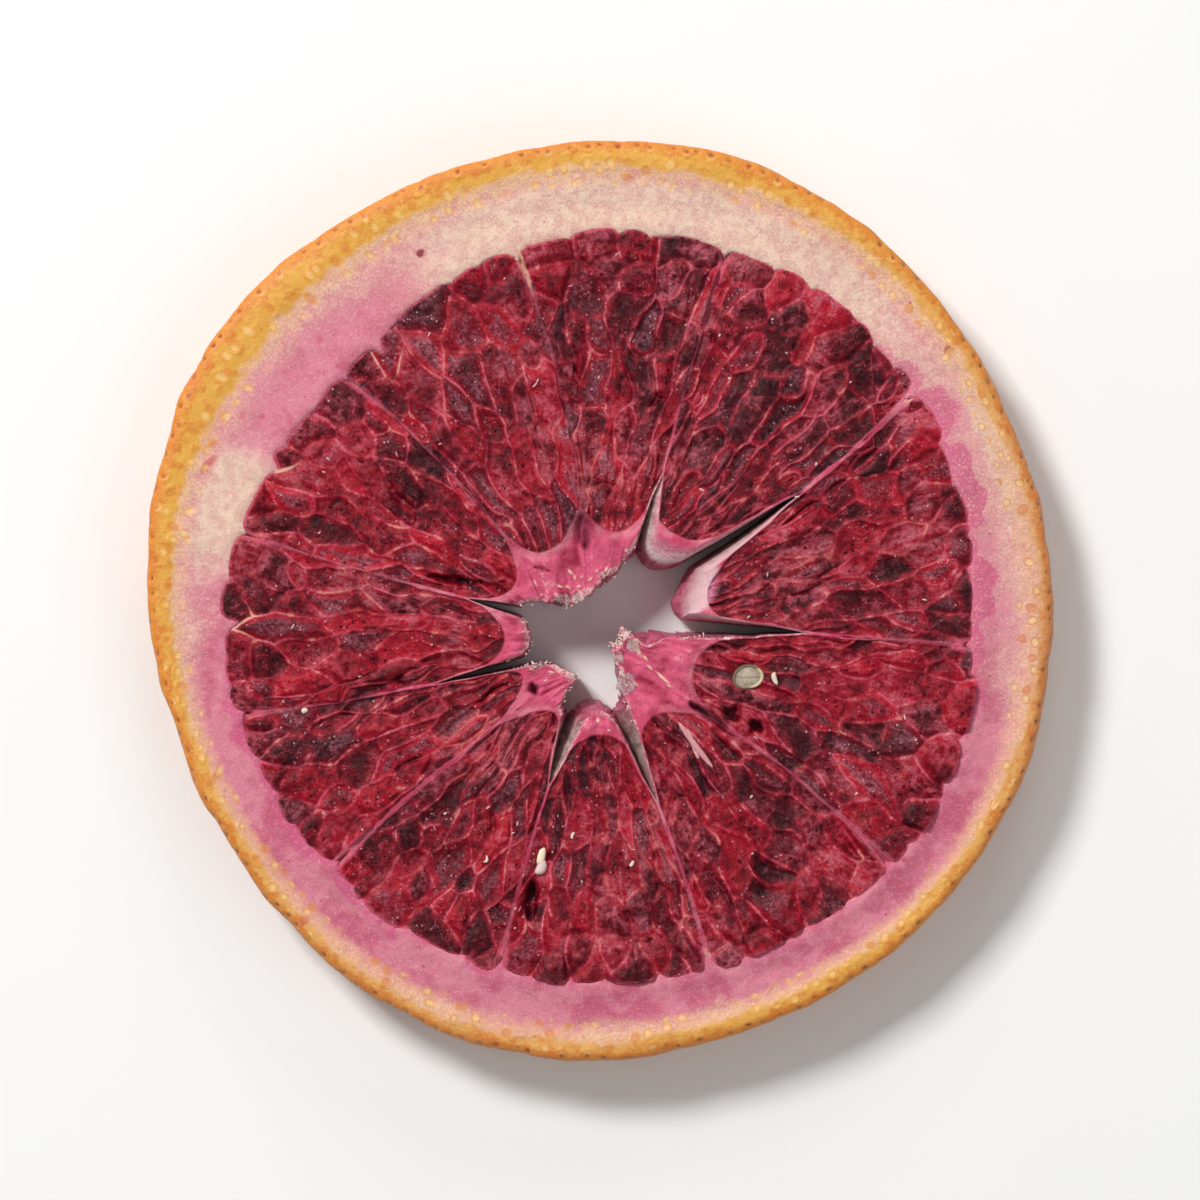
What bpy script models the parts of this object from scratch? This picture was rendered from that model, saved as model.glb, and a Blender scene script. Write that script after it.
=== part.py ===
"""Freeze-dried blood orange slice, lying flat on its underside.

The slice is one closed solid. Its skin is a grid: every column starts at the edge of the hole in the
core, crosses the pulp, goes over the rind and comes back to the hole underneath, and rings run round the
slice. Each of the eleven segments has the same number of columns, so a segment wall is always a column,
and a cleft is a column that starts further out. The cut seed and the lumps of torn pith are round
pieces that one Boolean union joins to the skin.

All lengths are in millimetres until the mesh is made. Angles are in degrees, counter-clockwise from +X.
"""

import bmesh
import bpy
import numpy as np

MM = 0.001

# Rind ring
THICKNESS = 5.8
RIM_RADIUS = 31.95
RIM_WAVES = ((2, 0.35, -67.0), (3, 0.15, 27.0), (4, 0.34, -23.0))  # waves round, height, turn
RIM_BUMP = 0.14
RIM_LIFT = 0.3  # how much of a bump outwards also goes upwards
ALBEDO_DIP = 0.25
EDGE_DROP = 0.9
PEEL_BAND = 1.3  # width of the outer peel on the cut face

# Pulp disc, flatter towards the upper left and further out towards the lower right
PULP_RADIUS = 26.35
PULP_WAVES = ((1, 1.24, -60.0), (2, 0.33, 46.0), (3, 0.51, -45.0), (5, 0.23, 35.0))
PULP_SINK = 0.45
PULP_GROOVE = 0.25
UNDERSIDE_GAP = 0.08  # least depth of the pulp's underside, which leaves the rind to stand on

# Juice sacs, as rows of long bumps
SAC_ROWS = 5
SACS_ACROSS = 4
SAC_HEIGHT = 0.34
SAC_UNEVEN = 0.07
WALL_DIP = 0.3

# Core: a hole all through, wider above than below on its right-hand side
HOLE_CENTRE = (-0.85, -2.5)
PITH_DROP = 0.35
PITH_REACH = 0.12  # how far the drop reaches, as a share of the way from hole to rind
HOLE_LIP = 0.45
NARROW_BELOW = 0.55  # a cleft's width at the underside, as a share of its width above
CLEFT_TAPER = 0.8  # under 1, a cleft opens fast near its closed end
WALL_BEND = 0.6  # how much of the walls' bow the rings follow

# Segment walls, counter-clockwise. Each has the place of its inner end, its angle at the pulp's edge, its
# sideways bow, the length of the cleft that has opened along it and the width of that cleft's mouth.
WALLS = (
    ((1.0, -4.4), -42.7, 0.7, 0.0, 0.0),
    ((6.0, -2.0), -7.4, 0.1, 8.2, 1.8),
    ((7.0, 2.6), 33.3, -0.6, 8.4, 1.6),
    ((3.2, 3.9), 70.0, 0.2, 4.7, 1.3),
    ((-0.7, 0.2), 103.7, -0.9, 0.0, 0.0),
    ((-4.0, -0.3), 139.2, -0.7, 0.0, 0.0),
    ((-5.7, -0.9), 169.7, 0.2, 3.6, 0.9),
    ((-5.3, -4.4), 197.7, 0.5, 6.4, 0.9),
    ((-1.6, -5.6), 225.2, -0.3, 0.0, 0.0),
    ((-1.9, -8.4), 254.8, -0.3, 5.0, 1.6),
    ((1.5, -8.1), 286.7, 0.35, 6.7, 1.35),
)

# Inner tips of the segments, each between the wall of the same place in the list above and the next one:
# where the tip lies, and how much further towards the hole's centre it runs at the underside.
TIPS = (
    ((2.75, -2.85), 0.0),
    ((7.4, -0.2), 1.3),
    ((5.4, 3.2), 0.9),
    ((1.0, 1.8), 0.3),
    ((-2.5, -0.2), 0.0),
    ((-5.0, -0.3), 0.0),
    ((-4.95, -2.5), 0.0),
    ((-2.9, -4.9), 0.0),
    ((-2.6, -7.2), 0.3),
    ((-0.1, -8.0), 0.8),
    ((1.45, -6.2), 0.0),
)

# Grid
COLUMNS = 12
PULP_RINGS = 17
PULP_RINGS_BELOW = 10
CLEFT_SHARE = 0.3  # share of a segment's columns that a very long cleft would take
CLEFT_HALF = 3.0  # length of the cleft that takes half of that share

# Round pieces joined to the upper face: centre x and y, half-sizes along x, y and z, height of the centre
# below the top of the rind
SEED = (10.35, -5.55, 1.15, 0.95, 0.8, 1.0)
PITH_LUMPS = (
    (-3.3, 0.9, 1.7, 0.9, 1.2, 1.3),
    (-0.9, 1.2, 1.0, 1.5, 1.2, 1.35),
    (3.0, -4.0, 1.4, 1.0, 1.2, 1.3),
    (2.4, -6.0, 1.1, 1.0, 1.2, 1.4),
    (-3.0, -5.9, 1.2, 0.9, 1.2, 1.35),
    (8.6, 0.2, 0.9, 1.5, 1.1, 1.25),
    (4.9, 4.7, 1.6, 0.9, 1.1, 1.25),
)

UNEVEN_SEED = 5
SHARP_ANGLE = 50.0  # edges that turn more than this stay sharp when shaded
SEGMENTS = len(WALLS)


def clear_scene():
    for old in list(bpy.data.objects):
        bpy.data.objects.remove(old)


def material(name, colour, roughness):
    made = bpy.data.materials.new(name)
    made.use_nodes = True
    shader = made.node_tree.nodes["Principled BSDF"]
    shader.inputs["Base Color"].default_value = (*colour, 1.0)
    shader.inputs["Roughness"].default_value = roughness
    shader.inputs["Metallic"].default_value = 0.0
    return made


def wavy_radius(angle, radius, waves):
    """The radius at an angle in radians: a round outline with a few long waves round it."""
    return radius + sum(high * np.cos(n * (angle - np.radians(turn))) for n, high, turn in waves)


def outline(angle, radius, waves):
    r = wavy_radius(angle, radius, waves)
    return np.stack([r * np.cos(angle), r * np.sin(angle)], axis=-1)


def pulp_edge(degrees):
    return outline(np.radians(degrees), PULP_RADIUS, PULP_WAVES)


def wall_point(wall, reach):
    """A point on a segment wall, reach millimetres from its inner end: a chord bowed to one side."""
    start, degrees, bow, _, _ = wall
    chord = pulp_edge(degrees) - np.array(start)
    length = np.hypot(*chord)
    part = np.asarray(reach)[..., None] / length
    side = np.array([-chord[1], chord[0]]) / length
    return np.array(start) + chord * part + side * 4 * bow * part * (1 - part)


def cleft_side(wall, hand, narrow, count):
    """One side of a wall's cleft, from its closed outer end to its mouth, narrow times as wide as above.

    Of a wall that hasn't opened, it is the wall's inner end alone.
    """
    length, width = wall[3], wall[4] * narrow
    if length == 0.0:
        return np.array([wall[0]])
    open_share = np.linspace(0.0, 1.0, count)
    middle = wall_point(wall, length * (1 - open_share))
    along = wall_point(wall, length) - wall_point(wall, 0.0)
    side = np.array([-along[1], along[0]]) / np.hypot(*along)
    return middle + hand * side * (0.5 * width * open_share ** CLEFT_TAPER)[:, None]


def rounded_tip(first, tip, last, count):
    """A curve from one mouth through the tip to the next mouth: two parabolas blended at the tip."""
    share = np.linspace(0.0, 1.0, count)[:, None]
    bend = 2 * np.array(tip) - 0.5 * (np.array(first) + np.array(last))
    return (1 - share) ** 2 * first + 2 * share * (1 - share) * bend + share ** 2 * last


def tip_place(index, below):
    """The inner tip of a segment. At the underside it runs further towards the hole's centre."""
    tip, further = TIPS[index]
    inwards = np.array(HOLE_CENTRE) - tip
    return np.array(tip) + (further if below else 0.0) * inwards / np.hypot(*inwards)


def hole_edge(index, below):
    """Where the columns of one segment start: from cleft to mouth, round the tip, and out to the next."""
    wall, after = WALLS[index], WALLS[(index + 1) % SEGMENTS]
    narrow = NARROW_BELOW if below else 1.0
    first = round(CLEFT_SHARE * COLUMNS * wall[3] / (wall[3] + CLEFT_HALF))
    last = round(CLEFT_SHARE * COLUMNS * after[3] / (after[3] + CLEFT_HALF))
    way_out = cleft_side(wall, 1, narrow, first + 1)
    way_back = cleft_side(after, -1, narrow, last + 1)[::-1]
    middle = COLUMNS - first - last + 1
    tip = rounded_tip(way_out[-1], tip_place(index, below), way_back[0], middle)
    return np.concatenate([way_out[:-1], tip, way_back[1:]])[:COLUMNS]


def column_angles():
    """The angle at the pulp's edge of every column, spaced evenly between the walls."""
    at_walls = [wall[1] for wall in WALLS] + [WALLS[0][1] + 360.0]
    return np.concatenate(
        [np.linspace(at_walls[i], at_walls[i + 1], COLUMNS, endpoint=False) for i in range(SEGMENTS)]
    )


def across_segment():
    """How far each column is across its segment, from 0 at one wall towards 1 at the next."""
    return np.tile(np.arange(COLUMNS) / COLUMNS, SEGMENTS)


def wall_bend(part, starts, ends):
    """How far each ring bends aside at each column, carried over from the walls at either hand."""
    bows = np.array([wall[2] for wall in WALLS])
    next_bows = np.roll(bows, -1)
    across = across_segment()
    bow = np.repeat(bows, COLUMNS) * (1 - across) + np.repeat(next_bows, COLUMNS) * across
    chord = ends - starts
    side = np.stack([-chord[:, 1], chord[:, 0]], axis=-1) / np.hypot(*chord.T)[:, None]
    return side * (bow * 4 * part * (1 - part))[:, None]


def pulp_places(parts, below):
    """The plan of the pulp: for each part of the way out, the place of every column."""
    starts = np.concatenate([hole_edge(index, below) for index in range(SEGMENTS)])
    ends = pulp_edge(column_angles())
    return [
        starts * (1 - part) + ends * part + WALL_BEND * wall_bend(part, starts, ends) for part in parts
    ]


def pulp_depth(part, rough):
    """How far the pulp lies below the cut face: rows of long sacs, walls in shallow dips, a soft core."""
    across = across_segment()
    row = part * SAC_ROWS
    shift = 0.5 * (np.floor(row) % 2)
    ridge = np.abs(np.sin(np.pi * (across * SACS_ACROSS + shift)))
    at_wall = np.clip(1 - np.minimum(across, 1 - across) * COLUMNS, 0, 1)
    ends = np.sqrt(np.abs(np.sin(np.pi * row)))
    sacs = SAC_HEIGHT * ridge * (0.35 + 0.65 * ends) * (1 - at_wall)
    core = PITH_DROP * np.exp(-((part / PITH_REACH) ** 2)) + HOLE_LIP * (part == 0.0)
    groove = PULP_GROOVE * max(0.0, (part - 0.95) / 0.05)
    return PULP_SINK - sacs + WALL_DIP * at_wall + core + groove + rough


def rind_rings():
    """Rings over the rind: how far from pulp to rim, height, and how bumpy. The flat band has height 0."""
    top = THICKNESS
    return [
        (0.14, top - ALBEDO_DIP, 0.3),
        (0.45, top - ALBEDO_DIP * 0.8, 0.3),
        (0.78, top - 0.03, 0.2),
        (0.93, top - 0.12, 0.3),
        (0.992, top - EDGE_DROP, 0.8),
        (1.004, top * 0.66, 1.0),
        (1.008, top * 0.5, 1.0),
        (1.004, top * 0.34, 1.0),
        (0.992, EDGE_DROP, 0.8),
        (0.94, 0.12, 0.3),
        (0.85, 0.0, 0.0),
        (0.35, 0.0, 0.0),
        (0.12, 0.2, 0.2),
    ]


def skin_points():
    """Every point of the skin, ring by ring: over the pulp, round the rind, under the pulp, up the hole."""
    draw = np.random.default_rng(UNEVEN_SEED)
    count = SEGMENTS * COLUMNS
    above = np.linspace(0.0, 1.0, PULP_RINGS)
    under = np.linspace(1.0, 0.0, PULP_RINGS_BELOW)
    rings = []
    for part, places in zip(above, pulp_places(above, False)):
        depth = pulp_depth(part, draw.uniform(-SAC_UNEVEN, SAC_UNEVEN, count))
        rings.append(np.column_stack([places, THICKNESS - depth]))
    edge = pulp_edge(column_angles())
    rim = outline(np.arctan2(edge[:, 1], edge[:, 0]), RIM_RADIUS, RIM_WAVES)
    outwards = rim / np.hypot(*rim.T)[:, None]
    for part, height, bumpy in rind_rings():
        bump = bumpy * draw.uniform(-RIM_BUMP, RIM_BUMP, count)
        places = edge + (rim - edge) * part + outwards * bump[:, None]
        lift = np.where(height > 0.0, RIM_LIFT * bump, 0.0)
        rings.append(np.column_stack([places, np.clip(height + lift, 0.0, THICKNESS)]))
    for part, places in zip(under, pulp_places(under, True)):
        depth = pulp_depth(part, draw.uniform(-SAC_UNEVEN, SAC_UNEVEN, count))
        rings.append(np.column_stack([places, np.maximum(depth, UNDERSIDE_GAP)]))
    rings.append(0.5 * (rings[0] + rings[-1]))
    return np.array(rings)


def centred(points):
    """The points moved so that their box is centred on the vertical axis."""
    low, high = points.reshape(-1, 3).min(axis=0), points.reshape(-1, 3).max(axis=0)
    return points - np.array([(low[0] + high[0]) / 2, (low[1] + high[1]) / 2, 0.0])


def grid_faces(rings, columns):
    """Four-sided faces of a grid that closes on itself both ways."""
    ring, column = np.meshgrid(np.arange(rings), np.arange(columns), indexing="ij")
    next_ring, next_column = (ring + 1) % rings, (column + 1) % columns
    corners = [(ring, column), (next_ring, column), (next_ring, next_column), (ring, next_column)]
    return np.stack([r * columns + c for r, c in corners], axis=-1).reshape(-1, 4)


def slice_skin(points):
    rings, columns, _ = points.shape
    mesh = bpy.data.meshes.new("citrus_slice")
    mesh.from_pydata((points * MM).reshape(-1, 3).tolist(), [], grid_faces(rings, columns).tolist())
    work = bmesh.new()
    work.from_mesh(mesh)
    bmesh.ops.recalc_face_normals(work, faces=work.faces)
    bmesh.ops.triangulate(work, faces=work.faces)
    work.to_mesh(mesh)
    work.free()
    skin = bpy.data.objects.new("citrus_slice", mesh)
    bpy.context.scene.collection.objects.link(skin)
    return skin


def paint_rings(skin, points):
    """Gives each triangle the material of the part of the fruit that it lies on."""
    looks = (
        material("juice_sacs", (0.27, 0.03, 0.04), 0.45),
        material("white_peel", (0.76, 0.40, 0.38), 0.85),
        material("outer_peel", (0.72, 0.36, 0.07), 0.55),
    )
    for look in looks:
        skin.data.materials.append(look)
    rim = RIM_RADIUS * MM
    for face in skin.data.polygons:
        reach = np.hypot(face.center.x, face.center.y)
        degrees = np.arctan2(face.center.y, face.center.x)
        inside = wavy_radius(degrees, PULP_RADIUS, PULP_WAVES) * MM
        face.material_index = 0 if reach < inside else 1 if reach < rim - PEEL_BAND * MM else 2


def round_piece(name, size, shift, look, group):
    """An egg-shaped piece sunk in the upper face."""
    x, y, half_x, half_y, half_z, below = size
    mesh = bpy.data.meshes.new(name)
    work = bmesh.new()
    bmesh.ops.create_uvsphere(work, u_segments=10, v_segments=6, radius=1.0)
    bmesh.ops.scale(work, vec=(half_x * MM, half_y * MM, half_z * MM), verts=work.verts)
    place = ((x + shift[0]) * MM, (y + shift[1]) * MM, (THICKNESS - below) * MM)
    bmesh.ops.translate(work, vec=place, verts=work.verts)
    work.to_mesh(mesh)
    work.free()
    mesh.materials.append(look)
    group.objects.link(bpy.data.objects.new(name, mesh))


def join(skin, group):
    """One union of the skin with all the pieces of the group, which are then removed."""
    union = skin.modifiers.new("joined", "BOOLEAN")
    union.operation = "UNION"
    union.operand_type = "COLLECTION"
    union.collection = group
    graph = bpy.context.evaluated_depsgraph_get()
    joined = bpy.data.meshes.new_from_object(skin.evaluated_get(graph))
    skin.modifiers.clear()
    skin.data = joined
    for piece in list(group.objects):
        bpy.data.objects.remove(piece)
    bpy.data.collections.remove(group)


def main():
    clear_scene()
    raw = skin_points()
    points = centred(raw)
    shift = (points - raw)[0, 0, :2]
    skin = slice_skin(points)
    paint_rings(skin, points)
    group = bpy.data.collections.new("joined_pieces")
    bpy.context.scene.collection.children.link(group)
    round_piece("seed", SEED, shift, material("seed", (0.48, 0.42, 0.30), 0.5), group)
    pith = material("torn_pith", (0.62, 0.16, 0.25), 0.8)
    for number, lump in enumerate(PITH_LUMPS):
        round_piece(f"pith_{number}", lump, shift, pith, group)
    join(skin, group)
    skin.data.shade_smooth()
    skin.data.set_sharp_from_angle(angle=np.radians(SHARP_ANGLE))


main()
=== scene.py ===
"""The looks of a freeze-dried blood orange slice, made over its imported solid.

Eleven segments of pulp, each wrapped in its skin, meet along uneven walls and leave a torn, star-shaped
core. Three rings of rind close round them. Lengths in the shape functions are millimetres, angles are
degrees counter-clockwise from +X, and depth is measured from the cut face into the slice.
"""

import bpy
import numpy as np
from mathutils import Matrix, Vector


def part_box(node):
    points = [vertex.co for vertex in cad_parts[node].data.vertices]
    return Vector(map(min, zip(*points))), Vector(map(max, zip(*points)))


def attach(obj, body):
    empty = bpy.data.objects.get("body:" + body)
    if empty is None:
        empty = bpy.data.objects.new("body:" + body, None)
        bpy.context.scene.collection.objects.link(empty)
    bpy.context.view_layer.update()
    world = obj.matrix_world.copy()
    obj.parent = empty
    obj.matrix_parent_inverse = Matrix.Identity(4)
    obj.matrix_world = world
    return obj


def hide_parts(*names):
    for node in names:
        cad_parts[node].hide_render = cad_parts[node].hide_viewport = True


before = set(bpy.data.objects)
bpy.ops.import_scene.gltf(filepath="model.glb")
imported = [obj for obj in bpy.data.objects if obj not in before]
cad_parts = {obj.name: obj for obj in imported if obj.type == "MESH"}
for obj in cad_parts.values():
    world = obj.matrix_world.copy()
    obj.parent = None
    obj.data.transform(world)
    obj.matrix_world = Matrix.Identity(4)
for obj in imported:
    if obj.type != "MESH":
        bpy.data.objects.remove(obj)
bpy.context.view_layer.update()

MM = 0.001
NODE = "citrus_slice"
LOW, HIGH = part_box(NODE)
THICKNESS = (HIGH.z - LOW.z) / MM

# The solid's own driving dimensions
RIM_RADIUS = 31.95
RIM_WAVES = ((2, 0.35, -67.0), (3, 0.15, 27.0), (4, 0.34, -23.0))  # waves round, height, turn
PULP_RADIUS = 26.35
PULP_WAVES = ((1, 1.24, -60.0), (2, 0.33, 46.0), (3, 0.51, -45.0), (5, 0.23, 35.0))
HOLE_CENTRE = np.array([-0.85, -2.5])

# Segment walls, counter-clockwise. Each has its inner end at the hole, the knee where the wall leaves the
# torn pith, its angle at the pulp's edge, its sideways bow, the length of the cleft that has opened along
# it, the width of the cleft's mouth, how far cream peel notches its outer end, and how plainly it shows.
START, KNEE, TURN, BOW, CLEFT, MOUTH, CREAM, SHOWS = range(8)
WALLS = (
    ((1.0, -4.4), (5.65, -7.0), -42.7, 0.7, 0.0, 0.0, 0.2, 0.7),
    ((6.0, -2.0), None, -7.4, 0.1, 8.2, 1.8, 0.2, 0.6),
    ((7.0, 2.6), None, 33.3, -0.6, 8.4, 1.6, 1.1, 0.9),
    ((3.2, 3.9), None, 70.0, 0.2, 4.7, 1.3, 0.2, 0.35),
    ((-1.0, 0.1), (-1.1, 3.95), 103.7, -0.9, 0.0, 0.0, 0.9, 0.25),
    ((-4.0, -0.3), (-5.2, 2.35), 139.2, -0.7, 0.0, 0.0, 0.4, 0.45),
    ((-5.7, -0.9), None, 169.7, 0.2, 3.6, 0.9, 0.3, 0.55),
    ((-5.3, -4.4), None, 197.7, 0.5, 6.4, 0.9, 0.2, 0.4),
    ((-1.6, -5.6), (-5.2, -7.4), 225.2, -0.3, 0.0, 0.0, 0.4, 0.8),
    ((-1.9, -8.4), None, 254.8, -0.3, 5.0, 1.6, 0.5, 0.6),
    ((1.5, -8.1), None, 286.7, 0.35, 6.7, 1.35, 1.0, 0.7),
)

# Segments, each between the wall of the same place above and the next one: the inner tip at the hole, how
# far that tip runs further in at the underside, the tip of the pulp, how far out its corners are rounded,
# how pale its juice is, how ragged its torn edge is, and how broadly the edge rolls over.
TIP, FURTHER, PULP_TIP, CORNERS, PALE, RAGGED, ROLL = range(7)
SEGMENTS = (
    ((2.1, -2.7), 0.0, (6.5, -5.2), 2.6, 0.40, 0.55, 0.5),
    ((7.2, 0.1), 1.1, (7.6, 0.5), 2.4, 0.45, 0.04, 1.3),
    ((5.3, 3.0), 1.5, (5.8, 4.2), 1.8, 0.30, 0.10, 0.9),
    ((0.9, 1.6), 0.3, (1.1, 4.6), 2.4, 0.26, 0.40, 0.5),
    ((-2.4, -0.5), 0.0, (-3.6, 3.3), 2.8, 0.40, 0.42, 0.5),
    ((-5.0, -0.3), 0.0, (-5.9, 1.1), 2.6, 0.60, 0.22, 0.5),
    ((-4.95, -2.5), 0.0, (-6.7, -2.8), 2.6, 0.56, 0.18, 0.7),
    ((-2.7, -4.8), 0.0, (-5.4, -5.7), 2.2, 0.55, 0.45, 0.5),
    ((-2.6, -7.2), 0.3, (-3.4, -8.0), 2.4, 0.50, 0.20, 0.5),
    ((-0.1, -7.9), 0.8, (-0.1, -9.6), 2.2, 0.52, 0.26, 0.9),
    ((1.3, -6.0), 0.0, (4.1, -8.2), 2.2, 0.40, 0.42, 0.5),
)
COUNT = len(WALLS)
CLEFT_SHARE = 0.3
SKIN = 0.14
CLEAN_EDGE = 0.15  # a segment less ragged than this has a rolled, whole lip

# How far the two sides and the tip of a segment lean out into the core at the underside: near, tip, far
LEANS = {1: (0.1, 1.0, 0.75), 2: (0.2, 0.2, 1.0), 9: (1.0, 0.3, 0.0), 10: (1.0, 0.0, 0.0)}
LEAN = (-1.2, -0.1)
NOSES = {1: 0.55, 2: 0.42}  # powers of the curve down a leaning side, under 1 for a full nose
# How white the rolled lips are: at index 1 a painted highlight, elsewhere white pith.
WHITE_LIPS_AND_HIGHLIGHT = {1: 0.6, 9: 0.3}

# Rows of sacs from the core outwards: how far along the segment, half-width and half-length
SAC_ROWS = (
    (0.03, 0.55, 2.3), (0.2, 0.65, 2.6), (0.38, 0.8, 2.4),
    (0.55, 0.9, 2.2), (0.7, 1.0, 1.9), (0.83, 1.1, 1.6),
)
LOBE_WIDTH = 7.6  # of a sac end at the pulp's edge, in degrees

# Slits torn in the core's webs and dark hollows between sacs: both ends, half-width and depth
SLITS = (
    ((-1.3, 5.6), (-1.0, 3.6), 0.55, 0.6),
    ((-4.6, 2.2), (-3.5, 1.85), 0.13, 0.35),
    ((6.4, -7.4), (8.9, -9.2), 0.26, 0.8),
    ((-4.75, -6.1), (-4.5, -6.7), 0.3, 0.9),
    ((-11.9, 1.5), (-8.3, 1.05), 0.26, 0.6),
    ((8.8, -7.9), (9.5, -8.4), 0.6, 1.0),
    ((10.7, -8.8), (11.2, -9.2), 0.45, 1.0),
    ((24.3, 10.9), (24.9, 9.9), 0.4, 0.8),
    ((-4.75, -20.1), (-4.95, -22.5), 0.46, 1.0),
    ((10.2, -5.5), (10.5, -5.6), 1.2, 0.3),
)

# Cream fibres on the core's webs: middle, length, half-width and direction
WEB_FIBRES = (
    (-2.1, 1.8, 0.5, 0.09, -50.0), (-1.8, 1.4, 0.4, 0.08, -60.0), (-1.3, 1.45, 0.35, 0.07, 20.0),
    (-2.8, 0.8, 0.5, 0.07, -30.0), (-2.2, 0.7, 0.4, 0.08, -20.0), (-1.5, 0.75, 0.35, 0.09, 10.0),
    (-0.6, 1.3, 0.4, 0.09, 30.0), (-0.1, 1.0, 0.35, 0.08, 40.0), (0.5, 2.0, 0.5, 0.07, 60.0),
    (2.6, -3.5, 1.3, 0.17, -65.0), (3.5, -4.9, 0.5, 0.1, -45.0), (4.4, -5.6, 1.2, 0.12, -40.0),
    (2.5, -6.1, 0.4, 0.1, -30.0), (1.7, -5.5, 0.45, 0.08, -60.0), (4.9, -6.2, 0.4, 0.1, -20.0),
    (3.2, -4.2, 0.5, 0.08, -50.0), (-4.7, -5.0, 0.35, 0.08, 0.0), (-3.4, -5.2, 0.4, 0.08, -20.0),
    (-3.8, -5.8, 0.3, 0.07, 30.0), (-5.3, -1.75, 0.3, 0.1, -40.0), (-5.35, -2.4, 0.25, 0.09, 0.0),
    (-0.1, -8.6, 0.35, 0.12, 70.0), (0.6, -9.3, 0.25, 0.08, 0.0),
)

# Whitish frayed mats at the webs' edges: middle and half-width
MATS = (
    (1.7, -6.2, 0.75), (2.0, -5.6, 0.45), (2.3, -3.3, 0.5), (1.3, -4.2, 0.45), (-4.6, -4.4, 0.55),
    (-3.6, -4.3, 0.4), (-2.2, -6.6, 0.3), (-2.6, -0.1, 0.5), (-1.6, 0.1, 0.3), (-1.5, -8.7, 0.35),
)

# Where the webs' torn edges are drawn aside: middle, half-width, and how far in x and y
PULLS = (
    (3.4, -2.4, 0.95, 0.0, -0.85), (1.8, -2.6, 0.6, -0.1, 0.45), (0.3, 1.4, 0.5, -0.2, 0.3),
    (-3.0, -0.5, 0.5, 0.0, 0.35), (-1.6, -0.3, 0.4, 0.1, -0.2), (1.0, -5.2, 0.5, 0.35, 0.1),
    (1.0, -6.3, 0.5, -0.3, 0.0), (-4.0, -4.2, 0.6, 0.0, 0.3),
)

# Notches of cream peel that reach in between sacs: angle and depth
NOTCHES = ((184.0, 0.7), (158.0, 0.6), (131.5, 0.9))

# Specks of dried juice on the inner peel: place, half-width, drawn out by, and how dark
SPECKS = (
    (-12.6, 24.1, 0.3, 1.0, 1.0), (-14.3, 25.2, 0.22, 1.0, 0.5), (-27.5, 9.3, 0.3, 2.6, 0.6),
    (24.4, 17.4, 0.34, 1.0, 0.9), (-23.7, 12.7, 0.2, 1.0, 0.6), (-25.1, 12.7, 0.2, 1.3, 0.4),
    (-19.6, 18.0, 0.22, 1.2, 0.5), (-24.0, -20.6, 0.24, 1.0, 0.6), (-20.8, -22.7, 0.3, 1.6, 0.5),
    (-22.1, -23.4, 0.2, 1.0, 0.5),
)

# Flakes on the cut: both ends, half-width, half-thickness and tone. The first two lie over a hollow.
FLAKES = (
    (-4.2, -18.7, -3.95, -17.45, 0.3, 0.16, 1.0), (-4.45, -19.35, -4.05, -18.2, 0.34, 0.15, 0.55),
    (5.5, -8.7, 7.9, -11.9, 0.2, 0.07, 0.2), (6.1, -9.2, 6.9, -11.3, 0.17, 0.06, 0.3),
    (-20.9, -8.0, -20.5, -7.8, 0.18, 0.1, 0.9), (-1.95, -16.9, -1.8, -16.4, 0.1, 0.08, 0.85),
    (-8.2, -18.5, -7.95, -18.0, 0.1, 0.08, 0.75), (2.1, -18.8, 2.35, -18.4, 0.12, 0.08, 0.8),
    (12.2, -5.2, 12.4, -6.1, 0.18, 0.1, 0.8),
)
CRUMBS = 110
FRAYS = 110  # fibres on eight millimetres of an edge that is ragged by 0.4
SEED_MIDDLE = (10.35, -5.55)

# Bell curves round the rim, each with its middle, width and height: where the zest is dull and thin, where
# the inner peel is pink, where it is cream, and where juice has stained it
DULL_AT = ((2.0, 34.0, 1.0), (245.0, 40.0, 0.6))
PINK_AT = (
    (212.0, 28.0, 0.75), (250.0, 30.0, 0.6), (285.0, 30.0, 0.4),
    (322.0, 26.0, 0.8), (14.0, 22.0, 0.15), (142.0, 26.0, 0.4),
)
CREAM_AT = ((62.0, 30.0, 0.9), (92.0, 20.0, 0.6), (167.0, 11.0, 0.9), (112.0, 14.0, 0.5))
STAINED_AT = ((12.0, 30.0, 0.8), (215.0, 35.0, 0.5))

SURFACES = []  # the segments' cut faces, for what lies on them
EDGES = []  # the segments' edges at the core

# Shares of the way from pulp to rim: where the inner peel begins under the pulp, where it meets the zest,
# and how far each runs on past the joint. Both slope down there, by LAP_DIP millimetres at the joint itself.
PEEL_FROM, ZEST_FROM, LAP = -0.22, 0.68, 0.03
LAP_DIP = 0.012
RIND_WIDTH = 5.5
GLANDS_ROUND = 170

# Grids
ACROSS, ALONG, ALONG_BELOW, DOWN = 160, 200, 96, 12
SKIN_AROUND, PEEL_AROUND = 1600, 1250


# ---------------------------------------------------------------- patterns in numbers


def unit(value):
    return np.clip(value, 0.0, 1.0)


def smooth(low, high, value):
    """0 below low, 1 above high and an S-curve between them."""
    share = unit((value - low) / (high - low))
    return share * share * (3.0 - 2.0 * share)


def hump(value, width):
    """A bell curve: 1 where the value is 0, nearly 0 at twice the width."""
    return np.exp(-((value / width) ** 2))


def length(vectors):
    return np.hypot(vectors[..., 0], vectors[..., 1])


def polar(degrees, radius):
    angle = np.radians(degrees)
    return np.stack([radius * np.cos(angle), radius * np.sin(angle)], axis=-1)


def off_turn(degrees, turn):
    """How far an angle is from another, from -180 to 180."""
    return (degrees - turn + 180.0) % 360.0 - 180.0


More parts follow.
